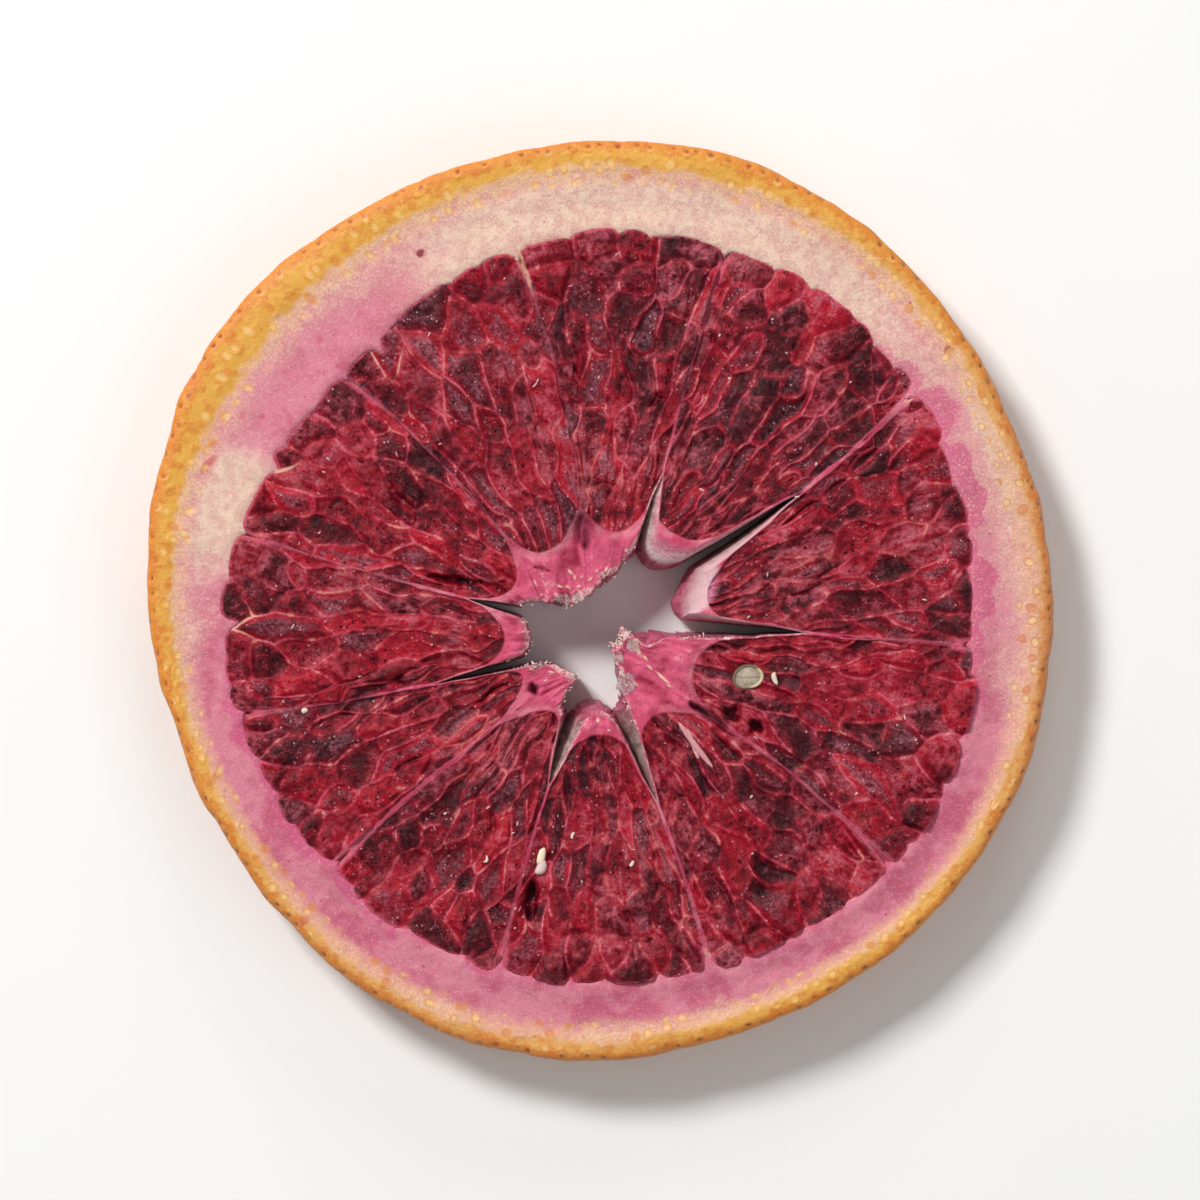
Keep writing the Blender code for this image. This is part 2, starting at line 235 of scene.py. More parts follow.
def scatter(x, y, seed):
    """A repeatable random number from 0 to 1 for each whole-numbered place."""
    mixed = x.astype(np.int64) * 374761393 + y.astype(np.int64) * 668265263 + seed * 974634777
    mixed = mixed & 0x7FFFFFFF
    mixed = ((mixed ^ (mixed >> 13)) * 1274126177) & 0x7FFFFFFF
    return ((mixed ^ (mixed >> 16)) & 0xFFFFFF) / 0xFFFFFF


def soft_noise(x, y, seed):
    """Random heights at whole-numbered places, blended by S-curves between them: from -1 to 1."""
    left, under = np.floor(x), np.floor(y)
    u, v = smooth(0, 1, x - left), smooth(0, 1, y - under)
    lower = scatter(left, under, seed) * (1 - u) + scatter(left + 1, under, seed) * u
    upper = scatter(left, under + 1, seed) * (1 - u) + scatter(left + 1, under + 1, seed) * u
    return 2 * (lower * (1 - v) + upper * v) - 1


def noise(places, size, seed, layers=3):
    """Soft noise of the given size, with layers of half the size and half the height on top."""
    total, height = 0.0, 1.0
    for layer in range(layers):
        scale = 2.0**layer / size
        turn = 0.7 * layer
        x = places[..., 0] * np.cos(turn) - places[..., 1] * np.sin(turn)
        y = places[..., 0] * np.sin(turn) + places[..., 1] * np.cos(turn)
        total = total + height * soft_noise(x * scale, y * scale, seed + 17 * layer)
        height *= 0.5
    return total / (2.0 - 2.0 * height)


def wavered(places, far, size, seed):
    """Places pushed about by noise of the given size, so that what is drawn on them has wavy edges."""
    return places + far * np.stack([noise(places, size, seed, 2), noise(places, size, seed + 1, 2)], axis=-1)


# ---------------------------------------------------------------- plan of the slice


def outline(degrees, radius, waves):
    """A round outline with a few long waves round it."""
    angle = np.radians(degrees)
    swell = sum(high * np.cos(n * (angle - np.radians(turn))) for n, high, turn in waves)
    return polar(degrees, radius + swell)


def pulp_edge(degrees):
    return outline(degrees, PULP_RADIUS, PULP_WAVES)


def wall_angles(index):
    """The angles of the two walls of a segment at the pulp's edge, the second larger than the first."""
    near, far = WALLS[index][TURN], WALLS[(index + 1) % COUNT][TURN]
    return near, far + 360.0 if far < near else far


def route(wall):
    """A wall as a line of points from its inner end, over its knee, to the pulp's edge, with its bow."""
    start, knee, degrees, bow = wall[:4]
    first = np.array(start if knee is None else knee)
    chord = pulp_edge(degrees) - first
    part = np.linspace(0.0, 1.0, 60)[:, None]
    side = np.array([-chord[1], chord[0]]) / length(chord)
    line = first + chord * part + side * 4 * bow * part * (1 - part)
    line = line + side * 0.16 * noise(line, 3.0, 71, 2)[:, None] * np.sin(np.pi * part)
    if knee is not None:
        lead = np.array(start) + (first - np.array(start)) * np.linspace(0.0, 1.0, 12)[:-1, None]
        line = np.concatenate([lead, line])
    return line


def reaches(line):
    """How far along a line each of its points lies."""
    return np.concatenate([[0.0], np.cumsum(length(np.diff(line, axis=0)))])


def at_reach(line, reach):
    """Points of a line at given distances from its start."""
    gone = reaches(line)
    return np.stack([np.interp(reach, gone, line[:, 0]), np.interp(reach, gone, line[:, 1])], axis=-1)


ROUTES = [route(wall) for wall in WALLS]
LENGTHS = [reaches(line)[-1] for line in ROUTES]


def aside(line, reach, hand, distance):
    """Points beside a line: at each reach, the given distance to the left (hand 1) or right (-1)."""
    ahead = at_reach(line, reach + 0.3) - at_reach(line, reach - 0.3)
    side = np.stack([-ahead[..., 1], ahead[..., 0]], axis=-1) / length(ahead)[..., None]
    return at_reach(line, reach) + hand * side * distance[..., None]


def cleft_half(wall, reach, narrow=1.0):
    """Half the width of a wall's cleft: widest at its mouth, nothing beyond its closed end."""
    if wall[CLEFT] == 0.0:
        return np.zeros_like(reach)
    return 0.5 * (wall[MOUTH] * narrow) * unit(1 - reach / wall[CLEFT]) ** 0.8


def cleft_edge(index, hand, narrow):
    """One side of a cleft from its closed end to its mouth, or the inner end of a closed wall."""
    wall = WALLS[index % COUNT]
    if wall[CLEFT] == 0.0:
        return np.array([wall[START]])
    reach = wall[CLEFT] * np.linspace(1.0, 0.0, 24)
    return aside(ROUTES[index % COUNT], reach, hand, cleft_half(wall, reach, narrow))


def rounded(first, tip, last, count):
    """A parabola from one point to another that passes through a tip half-way."""
    share = np.linspace(0.0, 1.0, count)[:, None]
    bend = 2 * np.array(tip) - 0.5 * (np.array(first) + np.array(last))
    return (1 - share) ** 2 * first + 2 * share * (1 - share) * bend + share**2 * last


def hole_edge(index, below):
    """The hole's edge along one segment: how far across each point counts, and the points."""
    tip, further = np.array(SEGMENTS[index][TIP]), SEGMENTS[index][FURTHER] if below else 0.0
    inwards = HOLE_CENTRE - tip
    tip = tip + further * inwards / length(inwards)
    narrow = 0.5 if below else 1.0
    out, back = cleft_edge(index, 1, narrow), cleft_edge(index + 1, -1, narrow)[::-1]
    shares = [CLEFT_SHARE * w[CLEFT] / (w[CLEFT] + 3.0) for w in (WALLS[index], WALLS[(index + 1) % COUNT])]
    middle = rounded(out[-1], tip, back[0], 40)
    near = np.linspace(0.0, shares[0], len(out))
    far = np.linspace(1 - shares[1], 1.0, len(back))
    across = np.concatenate([near, np.linspace(shares[0], 1 - shares[1], 40)[1:-1], far])
    if len(out) == 1:
        across[0] = 0.0
    if len(back) == 1:
        across[-1] = 1.0
    return across, np.concatenate([out, middle[1:-1], back])


def wall_bend(index, along):
    """How far a wall's route strays from the straight line between its ends, along its closed length."""
    line, closed, whole = ROUTES[index % COUNT], WALLS[index % COUNT][CLEFT], LENGTHS[index % COUNT]
    ends = at_reach(line, np.array([closed, whole]))
    bent = at_reach(line, closed + along * (whole - closed))
    return bent - ends[0] - (ends[1] - ends[0]) * along[..., None]


def spread(index, across, along, below=False):
    """The plan of a segment: from the hole's edge (along 0) to just past the pulp's edge (along 1).

    Straight lines join the hole's edge to the pulp's edge, and both walls' bends are blended across.
    """
    shares, edge = hole_edge(index, below)
    start = np.stack([np.interp(across, shares, edge[:, axis]) for axis in (0, 1)], axis=-1)
    near, far = wall_angles(index)
    end = pulp_edge(near + (far - near) * across)
    end = end + 0.4 * end / length(end)[..., None]
    across, bends = across[..., None], (wall_bend(index, along), wall_bend(index + 1, along))
    bend = bends[0] * (1 - across) + bends[1] * across
    return start * (1 - along)[..., None] + end * along[..., None] + bend


def lobe_count(index):
    """How many rounded sac ends line the outer edge of a segment."""
    near, far = wall_angles(index)
    return max(3, round((far - near) / LOBE_WIDTH))


def lobe_place(index, share):
    """Where along a segment's outer edge its lobes are counted: uneven, some wide and some narrow."""
    waver = 0.06 * np.sin(2 * np.pi * share) * (-1) ** index
    finer = np.sin(2 * np.pi * (2 * share + 0.37 * index)) - np.sin(0.74 * np.pi * index)
    return share + waver + 0.04 * finer


def lobe_depth(degrees):
    """How far the pulp's edge is drawn in from its round outline.

    Each sac end is an arc that bulges to its own height, and at the walls a notch cuts deeper.
    """
    inset = 0.0
    for index in range(COUNT):
        near, far = wall_angles(index)
        turn = (degrees - near) % 360.0
        counted = lobe_place(index, turn / (far - near)) * lobe_count(index)
        lobe = np.floor(counted)
        bulge = np.sqrt(unit(1 - (2 * (counted - lobe) - 1) ** 2))
        high = 0.4 + 0.6 * (scatter(lobe, np.full_like(counted, index), 5) - 0.5)
        inset = inset + (turn < far - near) * (0.4 - high * bulge**0.8)
    for turn, deep in [(wall[TURN], 0.7 * wall[CREAM]) for wall in WALLS] + list(NOTCHES):
        inset = inset + deep * hump(off_turn(degrees, turn) * np.radians(PULP_RADIUS), 0.45)
    return inset + 0.16 * noise(pulp_edge(degrees), 2.1, 75, 3)


def lobed_radius(degrees):
    return length(pulp_edge(degrees)) - lobe_depth(degrees)


def pulp_outline(index):
    """A segment's pulp in outline: out beside a wall, along the lobed edge, back, round the tip."""
    sides = []
    for place, hand in ((index, 1), (index + 1, -1)):
        line, wall, whole = ROUTES[place % COUNT], WALLS[place % COUNT], LENGTHS[place % COUNT]
        knee = 0.0 if wall[KNEE] is None else length(np.array(wall[KNEE]) - wall[START])
        reach = np.linspace(knee + SEGMENTS[index][CORNERS], whole + 0.6, 60)
        wide = SKIN * (0.35 + 0.9 * wall[SHOWS]) + 0.04 * noise(at_reach(line, reach), 1.1, 31 + place, 2)
        wide = wide + 0.16 * wall[SHOWS] * smooth(0.7, 1.0, reach / whole)
        side = aside(line, reach, hand, wide + cleft_half(wall, reach))
        sides.append(side[length(side) < PULP_RADIUS - 1.2])
    degrees = np.linspace(*wall_angles(index), 90)
    rim = polar(degrees, lobed_radius(degrees))[2:-2]
    tip = rounded(sides[1][0], SEGMENTS[index][PULP_TIP], sides[0][0], 24)[1:-1]
    return np.concatenate([sides[0], rim, sides[1][::-1], tip])


def inside_by(places, ring):
    """How far inside a closed outline each place lies; outside counts as negative."""
    x, y = places[..., 0], places[..., 1]
    nearest = np.full(x.shape, 1e9)
    within = np.zeros(x.shape, bool)
    for (ax, ay), (bx, by) in zip(ring, np.roll(ring, -1, axis=0)):
        dx, dy = bx - ax, by - ay
        share = unit(((x - ax) * dx + (y - ay) * dy) / (dx * dx + dy * dy + 1e-12))
        nearest = np.minimum(nearest, (x - ax - share * dx) ** 2 + (y - ay - share * dy) ** 2)
        if ay != by:
            within ^= ((ay > y) != (by > y)) & (x < dx * (y - ay) / dy + ax)
    return np.sqrt(nearest) * np.where(within, 1.0, -1.0)


# ---------------------------------------------------------------- juice sacs


def sac_seats(index, below):
    """Where the sacs of a segment sit: rows in stagger, slim and long near the core, blunt at the rim.

    Gives each seat's place, its direction outwards, and its half-width and half-length.
    """
    draw = np.random.default_rng(100 * below + index)
    seats, halves = [], []
    for row, (along, half, long) in enumerate(SAC_ROWS):
        ends = spread(index, np.array([0.0, 1.0]), np.array([along, along]))
        number = max(2, round(length(ends[1] - ends[0]) / (2 * half)))
        for place in range(number + 1):
            across = (place + 0.5 * (row % 2) + draw.uniform(-0.34, 0.34)) / number
            outwards = np.clip(along + draw.uniform(-0.06, 0.06), 0.01, 0.9)
            seats.append((np.clip(across, 0.01, 0.99), outwards))
            size = draw.uniform(0.72, 1.35)
            halves.append((half * size, long * size * draw.uniform(0.8, 1.25)))
    lobes = lobe_count(index)
    for place in range(lobes):
        share = (place + 0.5) / lobes
        seats.append((share - (lobe_place(index, np.array(share)) - share), 0.95))
        halves.append((1.25 * draw.uniform(0.8, 1.2), draw.uniform(1.3, 1.9)))
    places = spread(index, *np.array(seats).T)
    out = places - HOLE_CENTRE
    return places, out / length(out)[:, None], np.array(halves)


def own_sac(places, seats, out, halves):
    """For each place, the sac it belongs to and how far off that sac's wall is.

    Distances are squeezed along each seat's outward direction, which gives long cells. The wall lies where
    the two nearest seats are equally near, and the difference over its slope gives the distance. The third
    answer is 1 where that wall runs outwards and 0 where it crosses, the fourth is which side of it this is,
    and the fifth is 1 where three sacs meet.
    """
    gap = places[:, None, :] - seats[None, :, :]
    ahead = (gap[..., 0] * out[:, 0] + gap[..., 1] * out[:, 1]) / halves[:, 1]
    beside = (gap[..., 1] * out[:, 0] - gap[..., 0] * out[:, 1]) / halves[:, 0]
    away = np.hypot(beside, ahead)
    order = np.argpartition(away, 1, axis=1)[:, :2]
    pair = np.take_along_axis(away, order, axis=1)
    swap = pair[:, 0] > pair[:, 1]
    order[swap], pair[swap] = order[swap][:, ::-1], pair[swap][:, ::-1]
    slopes = []
    for column in (0, 1):
        seat = order[:, column]
        a = np.take_along_axis(ahead, seat[:, None], axis=1)[:, 0] / halves[seat, 1]
        b = np.take_along_axis(beside, seat[:, None], axis=1)[:, 0] / halves[seat, 0]
        way = out[seat]
        slope = np.stack([a * way[:, 0] - b * way[:, 1], a * way[:, 1] + b * way[:, 0]], axis=-1)
        slopes.append(slope / (pair[:, column] + 1e-6)[:, None])
    across = slopes[1] - slopes[0]
    steep = length(across)
    way = out[order[:, 0]]
    runs = np.abs(across[:, 0] * way[:, 1] - across[:, 1] * way[:, 0]) / (steep + 1e-6)
    side = np.where(order[:, 0] < order[:, 1], 1.0, -1.0)
    corner = hump(np.partition(away, 2, axis=1)[:, 2] - pair[:, 0], 0.22)
    return order[:, 0], (pair[:, 1] - pair[:, 0]) / (steep + 0.05), runs, side, corner


def sac_pattern(index, places, below):
    """Distances to the sac's wall, how far it runs outwards, corners, fainter films and each sac's chances.

    The wall and the films come twice, plain and with a sign that changes across them.
    """
    flat = places.reshape(-1, 2)
    bent = wavered(flat, 0.6, 2.8, 3)
    own, wall, runs, side, corner = own_sac(bent, *sac_seats(index, below))
    _, film, _, film_side, _ = own_sac(bent + 0.3, *sac_seats(index, below + 5))
    draw = np.random.default_rng(900 + 100 * below + index)
    chances = draw.uniform(0.0, 1.0, (own.max() + 1, 4))[own]
    film, wall = unit(film), np.clip(wall, 0.0, 2.0)
    values = np.stack([wall, wall * side, runs, corner, film, film * film_side, *chances.T], axis=-1)
    return np.moveaxis(values.reshape(*places.shape[:-1], 10), -1, 0)


def slit_depth(places):
    """The slits: a bell curve of the distance to each slit's own line, as deep as the slit."""
    total = np.zeros(places.shape[:-1])
    wavy = wavered(places, 0.1, 0.7, 7)
    for start, end, half, deep in SLITS:
        start, run = np.array(start), np.array(end) - np.array(start)
        share = unit(((wavy - start) @ run) / (run @ run))
        taper = 0.45 + 0.55 * np.sin(np.pi * share)
        total = np.maximum(total, deep * hump(length(wavy - start - share[..., None] * run), half * taper))
    return total


def fibre_marks(places):
    """1 on the webs' cream fibres, 0 off them: drawn-out ovals with wavy edges."""
    wavy = wavered(places, 0.09, 0.5, 81)
    total = np.zeros(places.shape[:-1])
    for x, y, long, wide, degrees in WEB_FIBRES:
        way = polar(degrees, 1.0)
        gap = wavy - [x, y]
        ahead = (gap @ way) / (0.55 * long)
        beside = (gap @ [-way[1], way[0]]) / (1.2 * wide)
        total = np.maximum(total, smooth(1.2, 0.5, np.hypot(ahead, beside)))
    return total


def mat_marks(places):
    """1 on the whitish frayed mats and 0 off them, with torn edges."""
    total = np.zeros(places.shape[:-1])
    for x, y, half in MATS:
        away = length(places - [x, y]) / half
        total = np.maximum(total, smooth(1.25, 0.75, away + 0.55 * noise(places, 0.6, 83, 3)))
    return total


# ---------------------------------------------------------------- segments


def segment_plan(index, below):
    """A segment's grid: how far across and along it, its places, and how far they are from the hole.

    Across is packed closer at the walls and along at the hole. The torn edge is noise that fades outwards.
    """
    share = np.linspace(0.0, 1.0, ACROSS + 1)
    across = share - 0.35 * np.sin(2 * np.pi * share) / (2 * np.pi)
    along = np.linspace(0.0, 1.0, (ALONG_BELOW if below else ALONG) + 1) ** 1.15
    across, along = np.meshgrid(across, along, indexing="ij")
    places = spread(index, across, along, below)
    start, end = places[:, :1], places[:, -1:]
    whole = length((end - start)[..., 0, :])[:, None]
    from_hole = along * whole
    torn_edge = SEGMENTS[index][RAGGED] * smooth(0.0, 0.12, across) * smooth(0.0, 0.12, 1 - across)
    tear = torn_edge * (noise(start, 0.8, 41, 3) + 0.5 * noise(start, 0.22, 43, 2))
    out = (end - start) / whole[..., None]
    places = places + out * (tear * np.exp(-from_hole / 0.7))[..., None]
    if not below:
        for x, y, half, right, up in PULLS:
            places = places + hump(length(places - [x, y]), half)[..., None] * [right, up]
    return across, along, places, from_hole


def segment_face(index, below):
    """One cut face of a segment: its plan, its depth below the cut, and what shows where.

    Depth is a pulp level less the sacs' domes and walls, a thin raised skin round the pulp, and pith that
    sinks towards the hole and rolls over at its edge.
    """
    across, along, places, from_hole = segment_plan(index, below)
    ragged = SEGMENTS[index][RAGGED]
    middle = np.minimum(across, 1 - across)
    from_wall = middle * length(places[-1:] - places[:1])
    inside = inside_by(places, pulp_outline(index))
    inside = inside + 0.07 * noise(places, 0.9, 9, 3) * smooth(2.0, 0.0, along)
    wall, wall_line, runs, corner, film, film_line, *chance = sac_pattern(index, places, below)
    rim_row = smooth(0.78, 0.88, along)
    shows = nearer_wall(index, across, SHOWS)
    rough = noise(places, 2.0, 10, 2)
    dome = 1 - hump(wall, 0.34)
    swollen = smooth(0.6, 0.8, chance[2]) - 0.75 * smooth(0.35, 0.1, chance[2]) * (1 - rim_row)
    swollen = swollen + 0.7 * rim_row
    hollow = (chance[2] > 0.95) * dome * smooth(0.4, 0.9, inside) * (1 - rim_row)
    crevice = hump(wall, 0.16) * smooth(0.42, 0.65, rough) * smooth(0.2, 0.5, inside) * (1 - rim_row)
    ridge = hump(wall, 0.11) * smooth(0.35, -0.05, rough)
    grain = 0.07 * noise(places, 0.8, 11, 2) + 0.05 * noise(places, 0.34, 12, 2)
    swell = 0.16 * noise(places, 6.5, 13 + 5 * below, 2)
    sacs = dome * 0.26 * swollen + 0.12 * ridge * (1 - 0.7 * rim_row) - 0.3 * crevice
    sacs = sacs + grain * (0.4 + 0.6 * dome)
    pulp = 0.38 - 0.06 * rim_row - sacs - swell + 0.55 * hollow

    rim = smooth(0.88, 0.93, along)
    faint = unit(1 - shows + 0.2) * smooth(2.0, 7.0, from_hole)
    skin = 0.18 + 0.2 * faint - swell * (0.6 + 0.4 * faint) - 0.05 * noise(places, 0.6, 21, 2)
    slot = hump(from_wall, 0.07) * smooth(0.3, 0.55, noise(places, 2.2, 24, 2) + 0.3 * shows)
    slot = slot * smooth(0.65, 0.45, along)
    deep = -inside
    web = smooth(0.25, 0.8, deep) * (1 - rim)
    slot = slot * (1 - web)
    fan = np.stack([across * 7.0 + 9.0 * index, from_hole * 0.3], axis=-1)
    ribs = 0.6 * (1 - 2 * np.abs(noise(fan, 1.0, 22, 2))) + 0.5 * noise(places, 0.9, 26, 3)
    pith = skin + 0.34 * smooth(0.4, 2.6, deep) * (1 - rim) + 0.3 * slot
    pith = pith - 0.16 * ribs * web * (ragged > CLEAN_EDGE)
    pulpy = smooth(-0.06, 0.06, inside)
    fibre, mat = fibre_marks(places) * (1 - pulpy), mat_marks(places) * (1 - pulpy)
    pith = pith - 0.09 * fibre - 0.05 * mat**2 * noise(places, 0.16, 84, 2)
    slits = slit_depth(places)
    depth = pith * (1 - pulpy) + pulp * pulpy + rim * 0.7 * smooth(0.06, 0.4, deep) + slits
    roll = SEGMENTS[index][ROLL] * (0.5 + 0.5 * smooth(0.05, 0.3, middle))
    depth = depth + 0.4 * roll * unit(1 - from_hole / roll) ** 2
    lip = smooth(roll, 0.4 * roll, from_hole) * (ragged < CLEAN_EDGE) * (1 - rim)
    rim_line = np.maximum(hump(inside - 0.06, 0.1), (1 - pulpy)) * rim_row
    wall_end = hump(from_wall, 0.22) * smooth(0.78, 0.95, along) * nearer_wall(index, across, CREAM)
    # How deep the hollows, crevices, slits and slots sink: the pulp's look paints them dark as painted
    # shade.
    shaded_recess = hollow + 0.9 * crevice + 1.4 * slits + 0.8 * slot - 0.3 * np.minimum(swollen, 0)
    looks = {
        "tone": unit(0.75 * chance[0] + 0.4 * SEGMENTS[index][PALE]),
        "tint": chance[1],
        "wall": unit(wall) * pulpy + (1 - pulpy),
        "skin": (1 - pulpy) * (1 - 0.85 * faint),
        "pith": web,
        "torn": hump(from_hole, 0.3) * (1 - rim) * smooth(0.03, 0.12, ragged),
        # Painted shade: how dark the recesses are painted.
        "hollow": unit(shaded_recess),
        "side": np.zeros_like(wall),
        "across": across * 11.0 + 13.0 * index,
        "outwards": from_hole,
        "lip": lip,
        "rim_line": rim_line,
        "wall_end": np.maximum(wall_end, 0.8 * notch_cream(places, along) * hump(wall, 0.12)),
        "rib": unit(0.5 + 0.5 * ribs),
        "pitted": chance[3],
        "runs": runs,
        "film": film,
        "grey": np.zeros_like(wall),
        # White lips: a painted highlight on index 1, white pith on the others.
        "white_pith_and_highlight": WHITE_LIPS_AND_HIGHLIGHT.get(index, 0.0) * lip * (1 - pulpy),
        "wall_line": wall_line * pulpy + (1 - pulpy),
        "film_line": film_line,
        "frayed": hump(from_hole, 1.1) * (1 - rim) * smooth(0.15, 0.4, ragged),
        "outer_part": along,
        "corner": rim_line * pulpy,
        "fibre": fibre,
        "mat": mat,
    }
    if below:
        near, tip, far = LEANS.get(index, (0.0, 0.0, 0.0))
        lean = np.interp(across, (0.0, 0.16, 0.5, 0.84, 1.0), (near, near, tip, far, far))
        places = places + (lean * smooth(20.0, 9.0, length(places - HOLE_CENTRE)))[..., None] * LEAN
    return places, depth, looks


def nearer_wall(index, across, value):
    """One of the wall table's values, for the wall on the nearer side of each place of a segment."""
    return np.where(across < 0.5, WALLS[index][value], WALLS[(index + 1) % COUNT][value])


def notch_cream(places, along):
    """How cream the sac walls are behind the notches of cream peel in the pulp's edge."""
    angle = np.degrees(np.arctan2(places[..., 1], places[..., 0]))
    total = sum(hump(off_turn(angle, turn), 3.0) for turn, _ in NOTCHES)
    return total * smooth(0.74, 0.95, along)


def segment_points(index):
    """Rings of a segment for each column across: out over the top, back underneath, up the hole's side."""
    top, top_depth, top_looks = segment_face(index, False)
    low, low_depth, low_looks = segment_face(index, True)
    over = np.concatenate([top, (THICKNESS - top_depth)[..., None]], axis=-1)
    under = np.concatenate([low, np.maximum(low_depth, 0.06)[..., None]], axis=-1)
    fall = np.linspace(1.0, 0.0, DOWN + 1)[None, 1:-1, None] ** 1.4
    lean_out = np.sin(np.pi / 2 * fall) ** NOSES.get(index, 0.9)
    side = over[:, :1] * [1, 1, 0] * (1 - lean_out) + under[:, :1] * [1, 1, 0] * lean_out
    side = side + (over[:, :1] * (1 - fall) + under[:, :1] * fall) * [0, 0, 1]
    wobble = 0.12 * noise(np.stack([side[..., 0] + side[..., 1], side[..., 2]], axis=-1), 1.4, 51)
    out = top[:, -1:] - top[:, :1]
    out = out / length(out)[..., None]
    fall = fall[..., 0]
    side[..., :2] += out * (wobble * np.sin(np.pi * fall))[..., None]
    points = np.concatenate([over, under[:, ::-1], side], axis=1)
    looks = {}
    for name in top_looks:
        wall = np.repeat(top_looks[name][:, :1], side.shape[1], axis=1)
        looks[name] = np.concatenate([top_looks[name], low_looks[name][:, ::-1], wall], axis=1)
    middle = np.minimum(np.linspace(0, 1, ACROSS + 1), np.linspace(1, 0, ACROSS + 1))[:, None]
    wall = slice(-side.shape[1], None)
    looks["side"][:, wall] = 1.0
    near, _, far = LEANS.get(index, (0.2, 0.0, 0.2))
    leaning = np.where(np.arange(ACROSS + 1) < ACROSS / 2, near, far)[:, None]
    looks["grey"][:, wall] = (0.25 + 0.75 * leaning) * (1.0 - 0.85 * smooth(0.16, 0.34, middle))
    # White down the leaning sides: a painted highlight on index 1's nose, white pith on index 2's curled
    # lip.
    curl_white_and_highlight = {1: 0.6 * smooth(0.5, 0.0, fall), 2: hump(fall - 0.1, 0.09)}.get(index, 0.0)
    looks["white_pith_and_highlight"][:, wall] = curl_white_and_highlight * smooth(0.12, 0.3, middle)
    EDGES.append((to_frame(over[:, 0]), out[:, 0], SEGMENTS[index][RAGGED]))
    return points, looks


def ring_faces(columns, ring, joined=False):
    """Four-sided faces between columns that are closed rings of points; joined, the last meets the first."""
    last = columns if joined else columns - 1
    column, place = np.meshgrid(np.arange(last), np.arange(ring), indexing="ij")
    ahead, beside = (place + 1) % ring, (column + 1) % columns
    corners = [(column, place), (column, ahead), (beside, ahead), (beside, place)]
    return np.stack([c * ring + p for c, p in corners], axis=-1).reshape(-1, 4)


def end_faces(first, ring, flip):
    """The side that closes a column's ring: strips from the top row down to the sparser row underneath."""
    top = np.arange(ALONG + 1)
    below = ALONG + 1 + np.arange(ALONG_BELOW + 1)[::-1]
    under = below[np.round(top * ALONG_BELOW / ALONG).astype(int)]
    rest = below[0] if under[1] == below[0] else under[1] + 1
    faces = [[top[0], top[1], under[1], *range(rest, ring)]]
    for a, b, c, d in zip(top[1:-1], top[2:], under[2:], under[1:-1]):
        faces.append([a, b, c] if c == d else [a, b, c, d])
    faces = [[int(corner) + first for corner in face] for face in faces]
    return [face if flip else face[::-1] for face in faces]


def make_piece(name, points, faces, looks, look):
    """A smooth-shaded piece from points in the frame's millimetres, with its looks stored on its points.

    The looks are packed four to a colour, in their own order.
    """
    mesh = bpy.data.meshes.new(name)
    mesh.from_pydata((points.reshape(-1, 3) * MM).tolist(), [], faces)
    mesh.polygons.foreach_set("use_smooth", np.ones(len(mesh.polygons), bool))
    names = list(looks)
    for number in range(0, len(names), 4):
        layer = mesh.color_attributes.new(f"looks_{number // 4}", "FLOAT_COLOR", "POINT")
        packed = [looks[key].reshape(-1) for key in names[number : number + 4]]
        packed += [np.zeros(points.size // 3)] * (4 - len(packed))
        layer.data.foreach_set("color", np.stack(packed, axis=-1).astype(np.float32).reshape(-1))
    mesh.materials.append(look)
    piece = bpy.data.objects.new(name, mesh)
    bpy.context.scene.collection.objects.link(piece)
    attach(piece, "root")
    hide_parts(NODE)
    return piece


def shade_flat(piece, flat):
    """Flat-shades the faces that are marked True."""
    piece.data.polygons.foreach_set("use_smooth", ~flat)


def to_frame(points):
    """Moves points worked out about the rim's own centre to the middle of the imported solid."""
    rim = outline(np.arange(0.0, 360.0, 0.5), RIM_RADIUS, RIM_WAVES)
    shift = (rim.min(axis=0) + rim.max(axis=0)) / 2
    moved = points.copy()
    moved[..., :2] += np.array([LOW.x + HIGH.x, LOW.y + HIGH.y]) / (2 * MM) - shift
    moved[..., 2] += LOW.z / MM
    return moved


def make_segment(index, look):
    """A segment: its rings of points, and the two sides that close it, which are flat-shaded."""
    points, looks = segment_points(index)
    columns, ring, _ = points.shape
    points = to_frame(points)
    SURFACES.append(points[:, : ALONG + 1].reshape(-1, 3))
    faces = ring_faces(columns, ring)[:, ::-1].tolist()
    closing = end_faces(0, ring, False) + end_faces((columns - 1) * ring, ring, True)
    piece = make_piece(f"segment_{index + 1}", points, faces + closing, looks, look)
    shade_flat(piece, np.arange(len(faces) + len(closing)) >= len(faces))


# ---------------------------------------------------------------- rind


def gland_pattern(sheet, pitch):
    """Oil glands on a jittered grid that closes round the rim: distance to the nearest and its chance."""
    cell = np.floor(sheet / pitch)
    near, chance = np.full(cell.shape[:-1], 1e9), np.zeros(cell.shape[:-1])
    for step_x in (-1, 0, 1):
        for step_y in (-1, 0, 1):
            x, y = cell[..., 0] + step_x, cell[..., 1] + step_y
            wrapped = x % GLANDS_ROUND
            gap_x = (x + 0.5 + 0.62 * (scatter(wrapped, y, 7) - 0.5)) * pitch - sheet[..., 0]
            gap_y = (y + 0.5 + 0.62 * (scatter(wrapped, y, 8) - 0.5)) * pitch - sheet[..., 1]
            away = np.hypot(gap_x, gap_y)
            closer = away < near
            near = np.where(closer, away, near)
            chance = np.where(closer, scatter(wrapped, y, 9), chance)
    return near, chance


def mirrored(half):
    """A half section from the cut face down, followed by itself upside down and in reverse."""
    return np.array(half + [(share, 1 - height) for share, height in reversed(half)])


def pith_profile():
    """The inner peel's section: from under the pulp's edge, over the cut, to the zest."""
    face = [(s, 1.0) for s in (*np.linspace(PEEL_FROM, ZEST_FROM - LAP, 34), ZEST_FROM, ZEST_FROM + LAP)]
    return mirrored([(PEEL_FROM, 0.75)] + face + [(ZEST_FROM + LAP, 0.75)])


